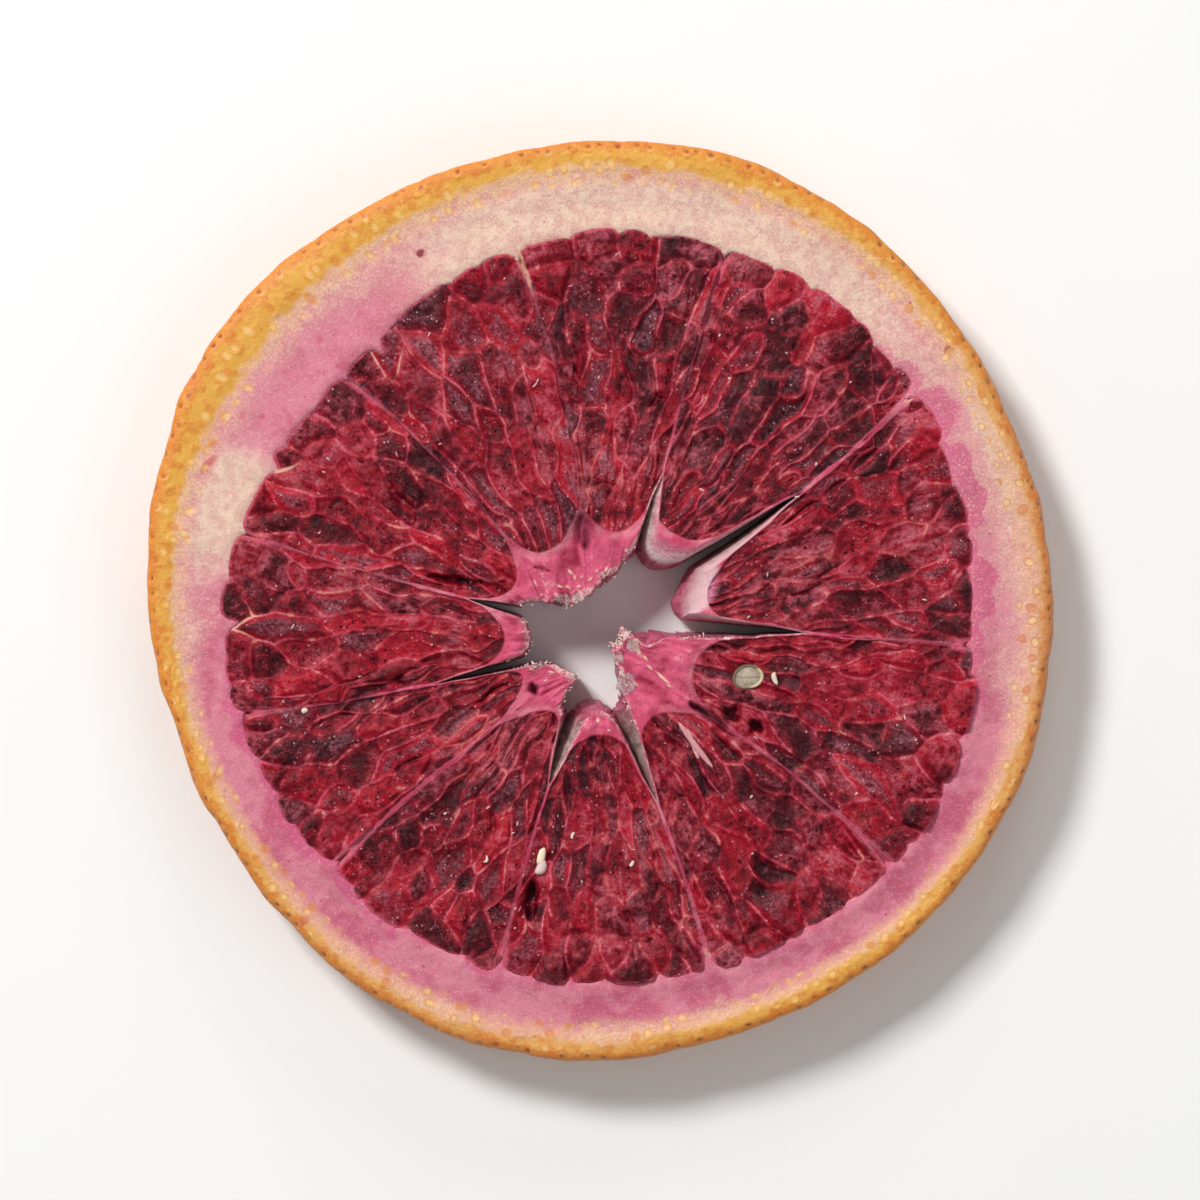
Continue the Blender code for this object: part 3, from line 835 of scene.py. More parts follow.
def zest_profile():
    """The zest's section: the cut face's outer band and the rounded corner, tucked in at both ends."""
    face = [(s, 1.0) for s in (ZEST_FROM - LAP, ZEST_FROM, *np.linspace(ZEST_FROM + LAP, 0.9, 15))]
    corner = [(0.9 + 0.1 * np.sin(a), 1 - 0.085 * (1 - np.cos(a))) for a in np.linspace(0.15, np.pi / 2, 8)]
    return mirrored([(ZEST_FROM - LAP, 0.75)] + face + corner + [(1.0, 0.87), (0.9, 0.85)])


def skin_profile():
    """The outer skin's section: straight down the wall, tucked in at both ends."""
    return mirrored([(0.9, 0.8)] + [(1.0, h) for h in np.linspace(0.9, 0.53, 23)])


def rind_points(profile, count, sink, unrolled_from, dips):
    """A ring of rind: its cross-section carried round the slice.

    Radius is the way from pulp to rim, plus slow waves and gland pits on the outer wall. Depth below the
    cut is a shallow dip and grain, and a straight slope where the zest and the inner peel dip under each
    other. Glands are counted along the section from where its second point lies.
    """
    degrees = np.linspace(0.0, 360.0, count, endpoint=False)[:, None] * np.ones(len(profile))
    share, height = profile[:, 0] * np.ones((count, 1)), profile[:, 1] * np.ones((count, 1))
    inner, round_inner = lobed_radius(degrees), length(pulp_edge(degrees))
    outer = length(outline(degrees, RIM_RADIUS, RIM_WAVES)) - 0.25
    radius = round_inner + (outer - round_inner) * share
    section = profile * [RIND_WIDTH, THICKNESS]
    unrolled = np.cumsum(length(np.diff(section, axis=0, prepend=section[:1])))
    unrolled = (unrolled - unrolled[1] + unrolled_from) * np.ones((count, 1))
    pitch = 2 * np.pi * RIM_RADIUS / GLANDS_ROUND
    sheet = np.stack([np.radians(degrees) * RIM_RADIUS, unrolled], axis=-1)
    gland, chance = gland_pattern(wavered(sheet, 0.25, 1.7, 61), pitch)
    flat = polar(degrees, radius)
    on_face = smooth(0.02, 0.0, np.minimum(height, 1 - height))
    dull = unit(bells(degrees, DULL_AT))
    peel_start = 0.71 + 0.1 * dull - 0.07 * hump(off_turn(degrees, 150.0), 26.0)
    peel_start = peel_start + 0.06 * noise(flat, 2.2, 63, 2) + 0.05 * noise(flat, 0.7, 69, 2)
    peel = np.maximum(smooth(peel_start, peel_start + 0.09, share), 1 - on_face)

    uneven = 0.3 * noise(polar(degrees, 26) + height[..., None] * 1.5, 3.2, 64, 3)
    dimple = hump(gland, 0.2) * peel
    pillow = 0.09 * np.cos(np.clip(gland / (0.5 * pitch), 0, 1.6) * np.pi) * peel
    bulge = 0.25 * np.sin(np.pi * unit(height)) ** 0.5
    radius = radius + smooth(0.7, 0.97, share) * (uneven + 0.05) - sink
    radius = radius + (1 - on_face) * (bulge - 0.1 * dimple - pillow * 0.6)
    hidden = smooth(0.05, 0.3, inner - radius)
    grain = 0.04 * noise(flat, 0.5, 65, 3) + 0.03 * noise(flat, 1.3, 67, 2) + 0.12 * noise(flat, 4.5, 66, 2)
    dip = 0.22 * smooth(0.0, 0.35, share) * smooth(0.85, 0.55, share)
    raised = smooth(0.45, 0.55, scatter(np.floor(chance * 997), chance * 0, 9))
    raised = hump(gland - 0.24 - 0.2 * chance, 0.1) * raised
    depth = 0.12 + dip + grain * (0.3 + smooth(0.95, 0.8, share))
    depth = depth - 0.06 * raised * smooth(0.6, 0.75, share) * on_face
    depth = depth + 0.75 * hidden + 0.08 * hump(radius - inner, 0.3)
    depth = depth + LAP_DIP * abs(dips) * np.clip(1 + dips * (share - ZEST_FROM) / LAP, 0.0, 2.0)
    z = height * THICKNESS
    z = np.where(height > 0.5, z - depth * on_face - 0.1 * (1 - on_face), z + depth * on_face * 0.6 + 0.04)
    points = np.concatenate([polar(degrees, radius), np.clip(z, 0.0, THICKNESS)[..., None]], axis=-1)
    cut = (radius - inner) / (outer - inner)
    looks = {
        "peel": peel,
        "gland": unit(gland),
        "chance": chance,
        "share": unit(share) * on_face + (1 - on_face),
        "blush": blush(degrees, cut),
        "cream": cream(degrees, cut),
        "rim_side": 1 - on_face,
        "stain": stain(degrees, radius - inner, flat),
        "speck": specks(flat) * on_face,
        "dull": dull,
    }
    return points, looks


def bells(degrees, rows, total=0.0):
    """Bell curves round the rim, added up: the middle, width and height of each."""
    for middle, width, high in rows:
        total = total + high * hump(off_turn(degrees, middle), width)
    return total


def blush(degrees, share):
    """How pink the inner peel is: most at the lower left, bottom and right, and next to the pulp."""
    return unit(bells(degrees, PINK_AT, 0.22) * (1.2 - 0.85 * smooth(0.15, 0.8, share)))


def cream(degrees, share):
    """How cream the inner peel is: a band beside the pulp at the top, upper right and left."""
    outer = bells(degrees, ((18.0, 22.0, 0.6),)) * smooth(0.35, 0.6, share)
    return unit(np.maximum(bells(degrees, CREAM_AT) * smooth(0.8, 0.35, share), outer))


def stain(degrees, away, flat):
    """Juice stains next to the pulp: patches up to a millimetre or two wide, most at the right."""
    strength = bells(degrees, STAINED_AT, 0.3)
    reach = (0.3 + 2.6 * unit(noise(flat, 1.9, 68, 3) + 0.3)) * strength
    return unit(strength) * smooth(reach + 0.35, reach * 0.5, away)


def specks(flat):
    """The specks of juice: soft-edged ovals, drawn out towards the upper right."""
    wavy = wavered(flat, 0.12, 0.5, 72)
    total = np.zeros(flat.shape[:-1])
    for x, y, half, long, dark in SPECKS:
        gap = wavy - [x, y]
        ahead = (gap[..., 0] * 0.6 + gap[..., 1] * 0.8) / long
        beside = gap[..., 1] * 0.6 - gap[..., 0] * 0.8
        total = np.maximum(total, dark * smooth(1.3, 0.8, np.hypot(ahead, beside) / half))
    return total


def make_ring(name, profile, count, sink, unrolled_from, look, dips=0):
    """One closed ring of rind, flat-shaded where it is tucked in, so no shade creeps onto what shows."""
    points, looks = rind_points(profile, count, sink, unrolled_from, dips)
    columns, ring, _ = points.shape
    piece = make_piece(name, to_frame(points), ring_faces(columns, ring, True).tolist(), looks, look)
    half = ring // 2
    tucked = [0, ring - 2, ring - 1] + ([half - 2, half - 1, half] if dips else [])
    shade_flat(piece, np.tile(np.isin(np.arange(ring), tucked), columns))


def make_rind(look):
    """Three rings with hidden edges tucked in: the outer skin, and the zest and inner peel side by side."""
    zest_at, skin_at = 6.0, 8.0  # millimetres along the unrolled section
    peel_at = zest_at - RIND_WIDTH * (ZEST_FROM - PEEL_FROM)
    make_ring("outer_skin", skin_profile(), SKIN_AROUND, -0.006, skin_at, look)
    make_ring("zest", zest_profile(), PEEL_AROUND, 0.0, zest_at - RIND_WIDTH * LAP, look, -1)
    make_ring("inner_peel", pith_profile(), PEEL_AROUND, 0.0, peel_at, look, 1)


# ---------------------------------------------------------------- small pieces on the cut


def ground(places):
    """The height of the cut face under each of some places: that of the nearest point of its grid."""
    faces = np.concatenate(SURFACES)
    nearest = [np.argmin((faces[:, 0] - x) ** 2 + (faces[:, 1] - y) ** 2) for x, y in places]
    return faces[nearest, 2]


def slivers(starts, ends, bows, wide, thick, taper):
    """Closed spindles from starts to ends: ovals carried along a bowed line, narrowing towards both ends.

    The half-width follows 1 less a power of the way from the middle, so a high taper makes a blunt end.
    """
    share = 0.5 - 0.5 * np.cos(np.linspace(0.0, np.pi, 10))
    turn = np.linspace(0.0, 2 * np.pi, 8, endpoint=False)
    run = ends - starts
    flat = np.stack([-run[:, 1], run[:, 0], np.zeros(len(run))], axis=-1)
    flat = flat / (np.linalg.norm(flat, axis=1)[:, None] + 1e-9)
    line = starts[:, None] + run[:, None] * share[:, None]
    line = line + bows[:, None] * (4 * share * (1 - share))[:, None]
    full = np.sqrt(unit(1 - np.abs(2 * share - 1) ** taper)) + 0.04
    oval = flat[:, None] * np.cos(turn)[:, None] * wide[:, None, None]
    oval = oval + np.array([0.0, 0.0, 1.0]) * np.sin(turn)[:, None] * thick[:, None, None]
    return line[:, :, None] + oval[:, None] * full[:, None, None]


def make_slivers(name, points, tones, look):
    """One piece from many spindles, each closed at both ends, with its own tone."""
    count, rings, sides, _ = points.shape
    quads = ring_faces(rings, sides)
    first = np.arange(count)[:, None, None] * rings * sides
    caps = np.stack([np.arange(sides)[::-1], np.arange(sides) + (rings - 1) * sides])
    faces = (first + quads).reshape(-1, 4).tolist() + (first + caps).reshape(-1, sides).tolist()
    spread_out = np.ones((count, rings, sides))
    looks = {
        "tone": tones[:, None, None] * spread_out,
        "share": np.linspace(0.0, 1.0, rings)[:, None] * spread_out,
    }
    make_piece(name, points, faces, looks, look)


def make_fringe(look):
    """Frayed fibres and crumbs along the torn edges of the core."""
    draw = np.random.default_rng(21)
    starts, ends = [], []
    for edge, out, ragged in EDGES:
        if ragged < CLEAN_EDGE:
            continue
        whole = length(np.diff(edge[:, :2], axis=0)).sum()
        clumps = noise(edge[:, :2], 1.3, 76, 2)
        for _ in range(round(FRAYS * ragged / 0.4 * whole / 8)):
            column = int(draw.uniform(0.2, 0.8) * (len(edge) - 1))
            if clumps[column] < draw.normal(0.15, 0.2):
                continue
            turn = draw.normal(0.0, 1.3)
            way = -out[column] @ np.array([[np.cos(turn), np.sin(turn)], [-np.sin(turn), np.cos(turn)]])
            long = draw.uniform(0.1, 0.34) * (0.5 + ragged)
            start = edge[column] + [*(out[column] * draw.uniform(-0.2, 0.4)), draw.uniform(-0.3, 0.03)]
            starts.append(start)
            ends.append(start + [*(way * long), draw.uniform(-0.2, 0.08)])
    starts, ends = np.array(starts), np.array(ends)
    bows = draw.normal(0.0, 0.07, starts.shape)
    wide = draw.uniform(0.025, 0.08, len(starts))
    points = slivers(starts, ends, bows, wide, wide * draw.uniform(0.5, 1.0, len(starts)), 2.0)
    make_slivers("core_fringe", points, draw.uniform(0.0, 1.0, len(starts)), look)


def make_flecks(look):
    """A cream flake over a dark hollow, pale fibre strips beside the core, and crumbs on the pulp."""
    draw = np.random.default_rng(33)
    angle = draw.uniform(0.0, 2 * np.pi, CRUMBS)
    radius = 8.0 + 17.0 * np.sqrt(draw.uniform(0.0, 1.0, CRUMBS))
    turn = draw.uniform(0.0, np.pi, CRUMBS)
    long = draw.uniform(0.1, 0.34, CRUMBS) * draw.uniform(0.6, 1.5, CRUMBS)
    x, y = radius * np.cos(angle), radius * np.sin(angle)
    wide = draw.uniform(0.035, 0.08, CRUMBS)
    tone = draw.uniform(0.0, 0.6, CRUMBS)
    far_x, far_y = x + long * np.cos(turn), y + long * np.sin(turn)
    rest = np.stack([x, y, far_x, far_y, wide, wide * 0.8, tone], axis=-1)
    table = np.concatenate([FLAKES, rest])
    flat = np.ones(len(table))
    starts = to_frame(np.stack([table[:, 0], table[:, 1], flat], axis=-1))
    ends = to_frame(np.stack([table[:, 2], table[:, 3], flat], axis=-1))
    starts[:, 2], ends[:, 2] = ground(starts[:, :2]) + 0.05, ground(ends[:, :2]) + 0.05
    starts[:2, 2] = ends[:2, 2] = starts[:2, 2].max() + 0.05
    bows = draw.normal(0.0, 0.12, (len(FLAKES), 3)) * [1, 1, 0.2]
    bows = np.concatenate([bows, np.zeros((CRUMBS, 3))])
    points = slivers(starts, ends, bows, table[:, 4], table[:, 5], 3.0)
    make_slivers("pale_flecks", points, table[:, 6], look)


def make_seed(look):
    """A seed cut through: a shallow oval dome in a raised shell, its edge tucked into the pulp."""
    columns, rings = 72, 30
    turn = np.linspace(0, 2 * np.pi, columns, endpoint=False)
    turn, way = np.meshgrid(turn, np.linspace(0.0, 1.0, rings), indexing="ij")
    uneven = 1 + 0.05 * np.cos(2 * turn + 0.6) + 0.03 * np.cos(3 * turn + 2.0)
    x, y = 1.22 * way * uneven * np.cos(turn), 1.04 * way * uneven * np.sin(turn)
    lean = np.radians(20.0)
    plan = np.stack([x * np.cos(lean) - y * np.sin(lean), x * np.sin(lean) + y * np.cos(lean)], axis=-1)
    rise = 0.16 * (1 - way**2) + 0.12 * hump(way - 0.8, 0.09) - 0.9 * smooth(0.86, 1.0, way)
    rise = rise + 0.04 * noise(plan, 0.4, 74, 2)
    middle = to_frame(np.array([[*SEED_MIDDLE, 1.0]]))[0]
    level = np.median(ground(middle[:2] + plan[::6, -1])) + 0.02
    points = np.concatenate([middle[:2] + plan, (level + rise)[..., None]], axis=-1)
    faces = ring_faces(columns, rings, True).reshape(columns, rings, 4)[:, 1:-1].reshape(-1, 4).tolist()
    faces.append(list(range(1, columns * rings, rings)))
    faces.append(list(range(rings - 1, columns * rings, rings))[::-1])
    looks = {"way": way, "turn": 0.5 + 0.5 * np.cos(turn + 0.5), "x": x, "y": y}
    make_piece("cut_seed", points, faces, looks, look)


# ---------------------------------------------------------------- materials


def tint(red, green, blue):
    """A colour given as it looks on a screen, 0 to 255, turned into light."""
    parts = np.array([red, green, blue]) / 255.0
    light = np.where(parts <= 0.04045, parts / 12.92, ((parts + 0.055) / 1.055) ** 2.4)
    return (*light.tolist(), 1.0)


class Wire:
    """A socket in an expression: arithmetic on it adds Math nodes to its material."""

    def __init__(self, web, socket):
        self.web = web
        self.socket = socket

    def maths(self, operation, *others):
        sockets = dict(enumerate((self, *others)))
        return self.web.node("ShaderNodeMath", {"operation": operation}, sockets)

    def __add__(self, other):
        return self.maths("ADD", other)

    def __sub__(self, other):
        return self.maths("SUBTRACT", other)

    def __rsub__(self, other):
        return self.web.node("ShaderNodeMath", {"operation": "SUBTRACT"}, {0: other, 1: self})

    def __mul__(self, other):
        return self.maths("MULTIPLY", other)

    __radd__ = __add__
    __rmul__ = __mul__

    def above(self, low, high):
        """0 where the value is under low, 1 over high, an S-curve between."""
        sockets = {0: self, 1: low, 2: high, 3: 0.0, 4: 1.0}
        return self.web.node("ShaderNodeMapRange", {"interpolation_type": "SMOOTHSTEP"}, sockets)


class Web:
    """The nodes of one material."""

    def __init__(self, name):
        self.material = bpy.data.materials.new(name)
        self.material.use_nodes = True
        self.tree = self.material.node_tree
        self.shader = self.tree.nodes["Principled BSDF"]
        where = self.node("ShaderNodeTexCoord", {}, {}, "Object")
        self.place = self.node("ShaderNodeVectorMath", {"operation": "SCALE"}, {0: where, "Scale": 1 / MM})

    def join(self, socket, value):
        if isinstance(value, Wire):
            self.tree.links.new(value.socket, socket)
        else:
            socket.default_value = value

    def node(self, kind, settings, sockets, output=0):
        """A node of any kind: its settings first, then the values or links of its sockets."""
        made = self.tree.nodes.new(kind)
        for key, value in settings.items():
            if key == "stops":
                self.set_stops(made.color_ramp, value)
            else:
                setattr(made, key, value)
        for key, value in sockets.items():
            self.join(made.inputs[key], value)
        return Wire(self, made.outputs[output])

    @staticmethod
    def set_stops(ramp, stops):
        while len(ramp.elements) < len(stops):
            ramp.elements.new(0.5)
        for element, (position, colour) in zip(ramp.elements, stops):
            element.position = position
            element.color = colour

    def looks(self, number):
        """The four values stored on the points in one of the looks colours."""
        made = self.tree.nodes.new("ShaderNodeAttribute")
        made.attribute_name = f"looks_{number}"
        apart = self.tree.nodes.new("ShaderNodeSeparateColor")
        self.tree.links.new(made.outputs["Color"], apart.inputs[0])
        return [Wire(self, apart.outputs[n]) for n in range(3)] + [Wire(self, made.outputs["Alpha"])]

    def grain(self, size, detail=2.0, rough=0.6, place=None, distortion=0.0):
        """Noise whose lumps are about size millimetres."""
        sockets = {"Vector": place or self.place, "Scale": 1 / size, "Detail": detail, "Roughness": rough}
        return self.node("ShaderNodeTexNoise", {}, {**sockets, "Distortion": distortion})

    def shifted(self, value, far):
        """Places pushed about by a value between 0 and 1, as far as so many millimetres."""
        push = self.node("ShaderNodeCombineXYZ", {}, {0: value * far, 1: (1 - value) * far})
        return self.node("ShaderNodeVectorMath", {"operation": "ADD"}, {0: self.place, 1: push})

    def cells(self, size, place=None, output="Distance"):
        """Distance to the nearest of scattered points about size millimetres apart, or a number for each."""
        sockets = {"Vector": place or self.place, "Scale": 1 / size}
        made = self.node("ShaderNodeTexVoronoi", {}, sockets, output)
        return made if output == "Distance" else self.node("ShaderNodeSeparateColor", {}, {0: made})

    def speckles(self, spacing, some, radius, shift):
        """Round dots on scattered points about spacing millimetres apart, on some of them only."""
        push = {0: self.place, 1: (shift, shift, shift)}
        moved = self.node("ShaderNodeVectorMath", {"operation": "ADD"}, push)
        near, chance = self.cells(spacing, moved), self.cells(spacing, moved, "Color")
        return chance.above(1 - some, 1.02 - some) * (1 - near.above(radius * 0.6, radius))

    def blend(self, share, low, high):
        """Two colours mixed by a share from 0 to 1. Each is a wire, or three numbers as seen on a screen."""
        low, high = (colour if isinstance(colour, Wire) else tint(*colour) for colour in (low, high))
        settings = {"data_type": "RGBA", "clamp_factor": True}
        return self.node("ShaderNodeMix", settings, {0: share, 6: low, 7: high}, 2)

    def ramp(self, value, *stops):
        """A colour for each value: each stop is a position and a colour as seen on a screen."""
        stops = [(position, tint(*colour)) for position, colour in stops]
        return self.node("ShaderNodeValToRGB", {"stops": stops}, {0: value})

    def bump(self, height, distance):
        """A relief whose lightest parts stand so many millimetres above its darkest."""
        sockets = {"Height": height, "Distance": distance * MM, "Strength": 1.0}
        return self.node("ShaderNodeBump", {}, sockets)

    def finish(self, **sockets):
        for name, value in sockets.items():
            self.join(self.shader.inputs[name.replace("_", " ").title().replace("Ior", "IOR")], value)
        return self.material


def pulp_look():
    """Dried juice sacs: each its own red, thin pink walls, painted glints and shade, magenta pith and skins.
    """
    web = Web("dried_pulp")
    tone, hue, wall, skin = web.looks(0)
    pith, torn, hollow, side = web.looks(1)
    across, outwards, lip, rim_line = web.looks(2)
    wall_end, rib, pitted, runs = web.looks(3)
    film, grey, white_pith_and_highlight, wall_line = web.looks(4)
    film_line, frayed, outer_part, corner = web.looks(5)
    fibre, mat, _, _ = web.looks(6)
    vast = web.grain(6.5, 2.0, 0.5)
    broad = web.grain(2.2, 3.0, 0.6)
    patch = web.grain(0.8, 3.0, 0.65)
    fine = web.grain(0.24, 3.0, 0.75)
    crystals = web.grain(0.4, 3.0, 0.7, distortion=1.2)
    crumbs = web.cells(0.3, web.shifted(fine, 0.25), "Color")
    along_sacs = web.node("ShaderNodeCombineXYZ", {}, {0: across * 2.2, 1: outwards * 0.4, 2: fine * 0.6})
    streaks = web.grain(1.0, 3.0, 0.6, along_sacs)
    heart = wall.above(0.15, 0.7)
    shade = tone * 0.6 + (vast - 0.5) * 0.8 + (broad - 0.5) * 1.1 + (patch - 0.5) * 0.75
    shade = shade + (fine - 0.5) * 0.45 + (crumbs - 0.5) * 0.14 + (streaks - 0.5) * 0.35 + 0.045
    reds = (54, 0, 12), (92, 0, 17), (140, 2, 26), (180, 8, 38), (208, 48, 70)
    juice = web.ramp(shade, *zip((0.0, 0.25, 0.5, 0.75, 1.0), reds))
    smoky = hue.above(0.62, 0.74) * heart * (patch * 0.5 + broad).above(0.6, 0.85)
    juice = web.blend(smoky * 0.75, juice, web.blend(fine.above(0.4, 0.68), (72, 16, 32), (142, 88, 102)))
    clouded = ((1 - hue) * 0.35 + vast * 0.7 + broad * 0.4).above(0.72, 0.92) * patch.above(0.42, 0.62)
    juice = web.blend(clouded * 0.5, juice, web.blend(fine.above(0.4, 0.65), (150, 62, 82), (196, 112, 124)))
    # Painted shade: tiny pits, and bigger round ones in pitted sacs, darkened in the colour as well as sunk
    # in the bump.
    pits = 1 - crystals.above(0.3, 0.38)
    big_pits = web.speckles(0.52, 0.6, 0.27, 3.0) * pitted.above(0.4, 0.5)
    pits = (pits + big_pits) * heart * (1 - skin)
    juice = web.blend(pits * 0.8, juice, (56, 0, 12))
    # Painted shade in the hollows, crevices, slits and slots.
    juice = web.blend(hollow * 0.85, juice, (38, 0, 10))
    films = (1 - film_line.maths("ABSOLUTE").above(0.0, 0.09)) * (1 - film.above(0.16, 0.24))
    films = films * broad.above(0.42, 0.62) * heart
    juice = web.blend(films * 0.5, juice, (190, 62, 86))
    glow = (1 - wall.above(0.1, 0.5)) * patch.above(0.35, 0.6)
    juice = web.blend(glow * 0.4, juice, (178, 22, 46))
    cloudy = streaks.above(0.46, 0.6) * (broad * 0.6 + vast * 0.6).above(0.62, 0.74) * (1 - skin)
    juice = web.blend(cloudy * 0.36, juice, web.blend(fine.above(0.4, 0.65), (166, 84, 98), (204, 140, 146)))
    lines = streaks.above(0.475, 0.5) * (1 - streaks.above(0.5, 0.525)) * patch.above(0.5, 0.62)
    juice = web.blend(lines * 0.45, juice, (208, 100, 112))
    veins = 1 - (wall_line.maths("ABSOLUTE") - patch * 0.07 - corner * 0.1).above(0.0, 0.09)
    veins = veins * (1 - wall.above(0.2, 0.3)) * (1 - skin)
    plain = (patch * 0.7 + broad * 0.9 + runs * 0.2).above(0.84, 1.16)
    veins = veins * (plain * 0.8 + 0.12) * (outwards.above(2.0, 7.0) * 0.5 + 0.5)
    vein_colour = web.blend(broad.above(0.42, 0.6), (190, 44, 72), (210, 92, 112))
    vein_colour = web.blend(patch.above(0.54, 0.68), vein_colour, (224, 146, 136))
    vein_colour = web.blend(vast.above(0.58, 0.66) * 0.35, vein_colour, (216, 122, 92))
    juice = web.blend(veins * (1 - hollow) * 0.85, juice, vein_colour)
    # Painted highlights: small pale glints painted into the colour in patches; they also lower the roughness
    # and lift the bump.
    painted_glint_areas = (hue * 0.5 + broad * 0.8).above(0.45, 0.85)
    dots = web.speckles(0.24, 0.3, 0.34, 31.0) * patch.above(0.46, 0.6) + web.speckles(0.34, 0.12, 0.3, 23.0)
    painted_glints = (dots + crystals.above(0.64, 0.72) * 0.6) * painted_glint_areas * (1 - skin)
    juice = web.blend(painted_glints * 0.7, juice, (226, 164, 174))
    skins = web.blend(broad.above(0.4, 0.65), (202, 70, 102), (224, 124, 142))
    # Webs: painted shade in the rib valleys, mixed with random tone, and painted highlights on the rib
    # crests.
    webs = web.blend((rib + (patch - 0.5) * 0.8).above(0.15, 0.85), (150, 22, 52), (218, 90, 124))
    webs = web.blend((rib + (fine - 0.5) * 0.6).above(0.84, 1.05) * 0.8, webs, (240, 196, 186))
    skins = web.blend(outer_part.above(0.72, 0.98) * 0.7, skins, (224, 156, 172))
    colour = web.blend(skin, juice, skins)
    colour = web.blend(pith, colour, webs)
    colour = web.blend(lip * 0.8, colour, web.blend(patch.above(0.4, 0.6), (214, 134, 160), (206, 96, 130)))
    ragged_white = (frayed * 0.5 + (patch - 0.5) * 1.2 + (fine - 0.5) * 0.8).above(0.4, 0.62)
    colour = web.blend(ragged_white * frayed.above(0.1, 0.5) * 0.85, colour, (226, 190, 182))
    # Painted shade in the slits and slots of the skins and webs.
    colour = web.blend(hollow * skin.above(0.1, 0.5) * 0.75, colour, (98, 24, 46))
    colour = web.blend(rim_line * patch.above(0.3, 0.55) * 0.75, colour, (210, 84, 108))
    colour = web.blend((wall_end * (patch + 0.8)).above(0.25, 0.85) * 0.85, colour, (226, 172, 148))
    colour = web.blend(torn * (fine * 0.6 + patch * 0.6).above(0.5, 0.7), colour, (234, 200, 194))
    upright = web.node("ShaderNodeVectorMath", {"operation": "MULTIPLY"}, {0: web.place, 1: (1.0, 1.0, 0.3)})
    fibrous = web.grain(0.5, 3.0, 0.7, upright)
    walls = web.blend(fibrous.above(0.35, 0.65), (140, 122, 114), (188, 170, 160))
    walls = web.blend(broad.above(0.52, 0.66) * 0.5, walls, (176, 104, 116))
    noses = web.blend(fibrous.above(0.35, 0.65), (168, 44, 84), (208, 100, 134))
    sides = web.blend(grey, noses, walls)
    felt = web.grain(0.2, 4.0, 0.75, distortion=1.5).above(0.4, 0.6)
    shreds = (mat * 0.8 + (crystals - 0.5) * 1.6 + (fine - 0.5) * 0.8).above(0.5, 0.75) * mat.above(0.1, 0.4)
    colour = web.blend(shreds * 0.7, colour, web.blend(felt, (214, 158, 166), (244, 228, 222)))
    strands = web.blend(fine.above(0.35, 0.65), (226, 150, 142), (246, 222, 186))
    colour = web.blend(fibre * 0.85, colour, strands)
    colour = web.blend(side, colour, sides)
    # White lips and noses: white pith, and on index 1 a painted highlight.
    colour = web.blend(white_pith_and_highlight, colour, (230, 208, 206))
    height = fine * 0.6 + patch * 0.5 + painted_glints * 0.5 + crumbs * 0.35 - pits * 0.9 + felt * mat * 0.4
    relief = web.bump(height, 0.16)
    web.shader.inputs["Specular IOR Level"].default_value = 0.2
    return web.finish(base_color=colour, roughness=0.36 - painted_glints * 0.16 + skin * 0.06, normal=relief)


def pith_look():
    """Torn pith: whitish and pinkish fibres, and cream flakes."""
    web = Web("torn_pith")
    tone, share, _, _ = web.looks(0)
    mottle = web.grain(0.35, 3.0, 0.7)
    fine = web.grain(0.1, 2.0, 0.7)
    pales = (206, 110, 134), (214, 160, 156), (226, 200, 192), (240, 222, 192)
    colour = web.ramp(tone + (mottle - 0.5) * 0.5, *zip((0.0, 0.3, 0.6, 1.0), pales))
    colour = web.blend((1 - share.above(0.0, 0.35)) * 0.3, colour, (196, 90, 116))
    relief = web.bump(fine + mottle, 0.05)
    return web.finish(base_color=colour, roughness=0.6 - fine * 0.1, normal=relief)


def seed_look():
    """A cut seed: pale greenish grey, a light middle, a cream shell on one side and a dark rim."""
    web = Web("seed_flesh")
    way, turn, x, y = web.looks(0)
    mottle = web.grain(0.5, 3.0, 0.6)
    fine = web.grain(0.12, 2.0, 0.7)
    flesh = web.blend((way + (mottle - 0.5) * 0.8).above(0.2, 0.6), (184, 166, 144), (152, 134, 116))
    flesh = web.blend(fine.above(0.5, 0.66) * 0.4, flesh, (196, 180, 158))
    cleft = (y + x * 0.35 + (mottle - 0.5) * 0.3).maths("ABSOLUTE").above(0.02, 0.08)
    branch = (x - y * 0.9 - 0.1 + (mottle - 0.5) * 0.3).maths("ABSOLUTE").above(0.02, 0.07)
    branch = branch + (y * 4).above(-0.2, 0.2)
    flesh = web.blend((1 - cleft * branch.above(0.0, 0.9)) * 0.6, flesh, (104, 78, 62))
    shell = web.blend((turn + (mottle - 0.5) * 0.6).above(0.6, 0.9), (112, 92, 74), (206, 186, 148))
    flesh = web.blend(way.above(0.66, 0.74), flesh, shell)
    rim = (way + (mottle - 0.5) * 0.1).above(0.85, 0.93)
    flesh = web.blend(rim, flesh, (92, 28, 38))
    relief = web.bump(mottle + fine * 0.5, 0.06)
    return web.finish(base_color=flesh, roughness=0.5 - fine * 0.1, normal=relief)


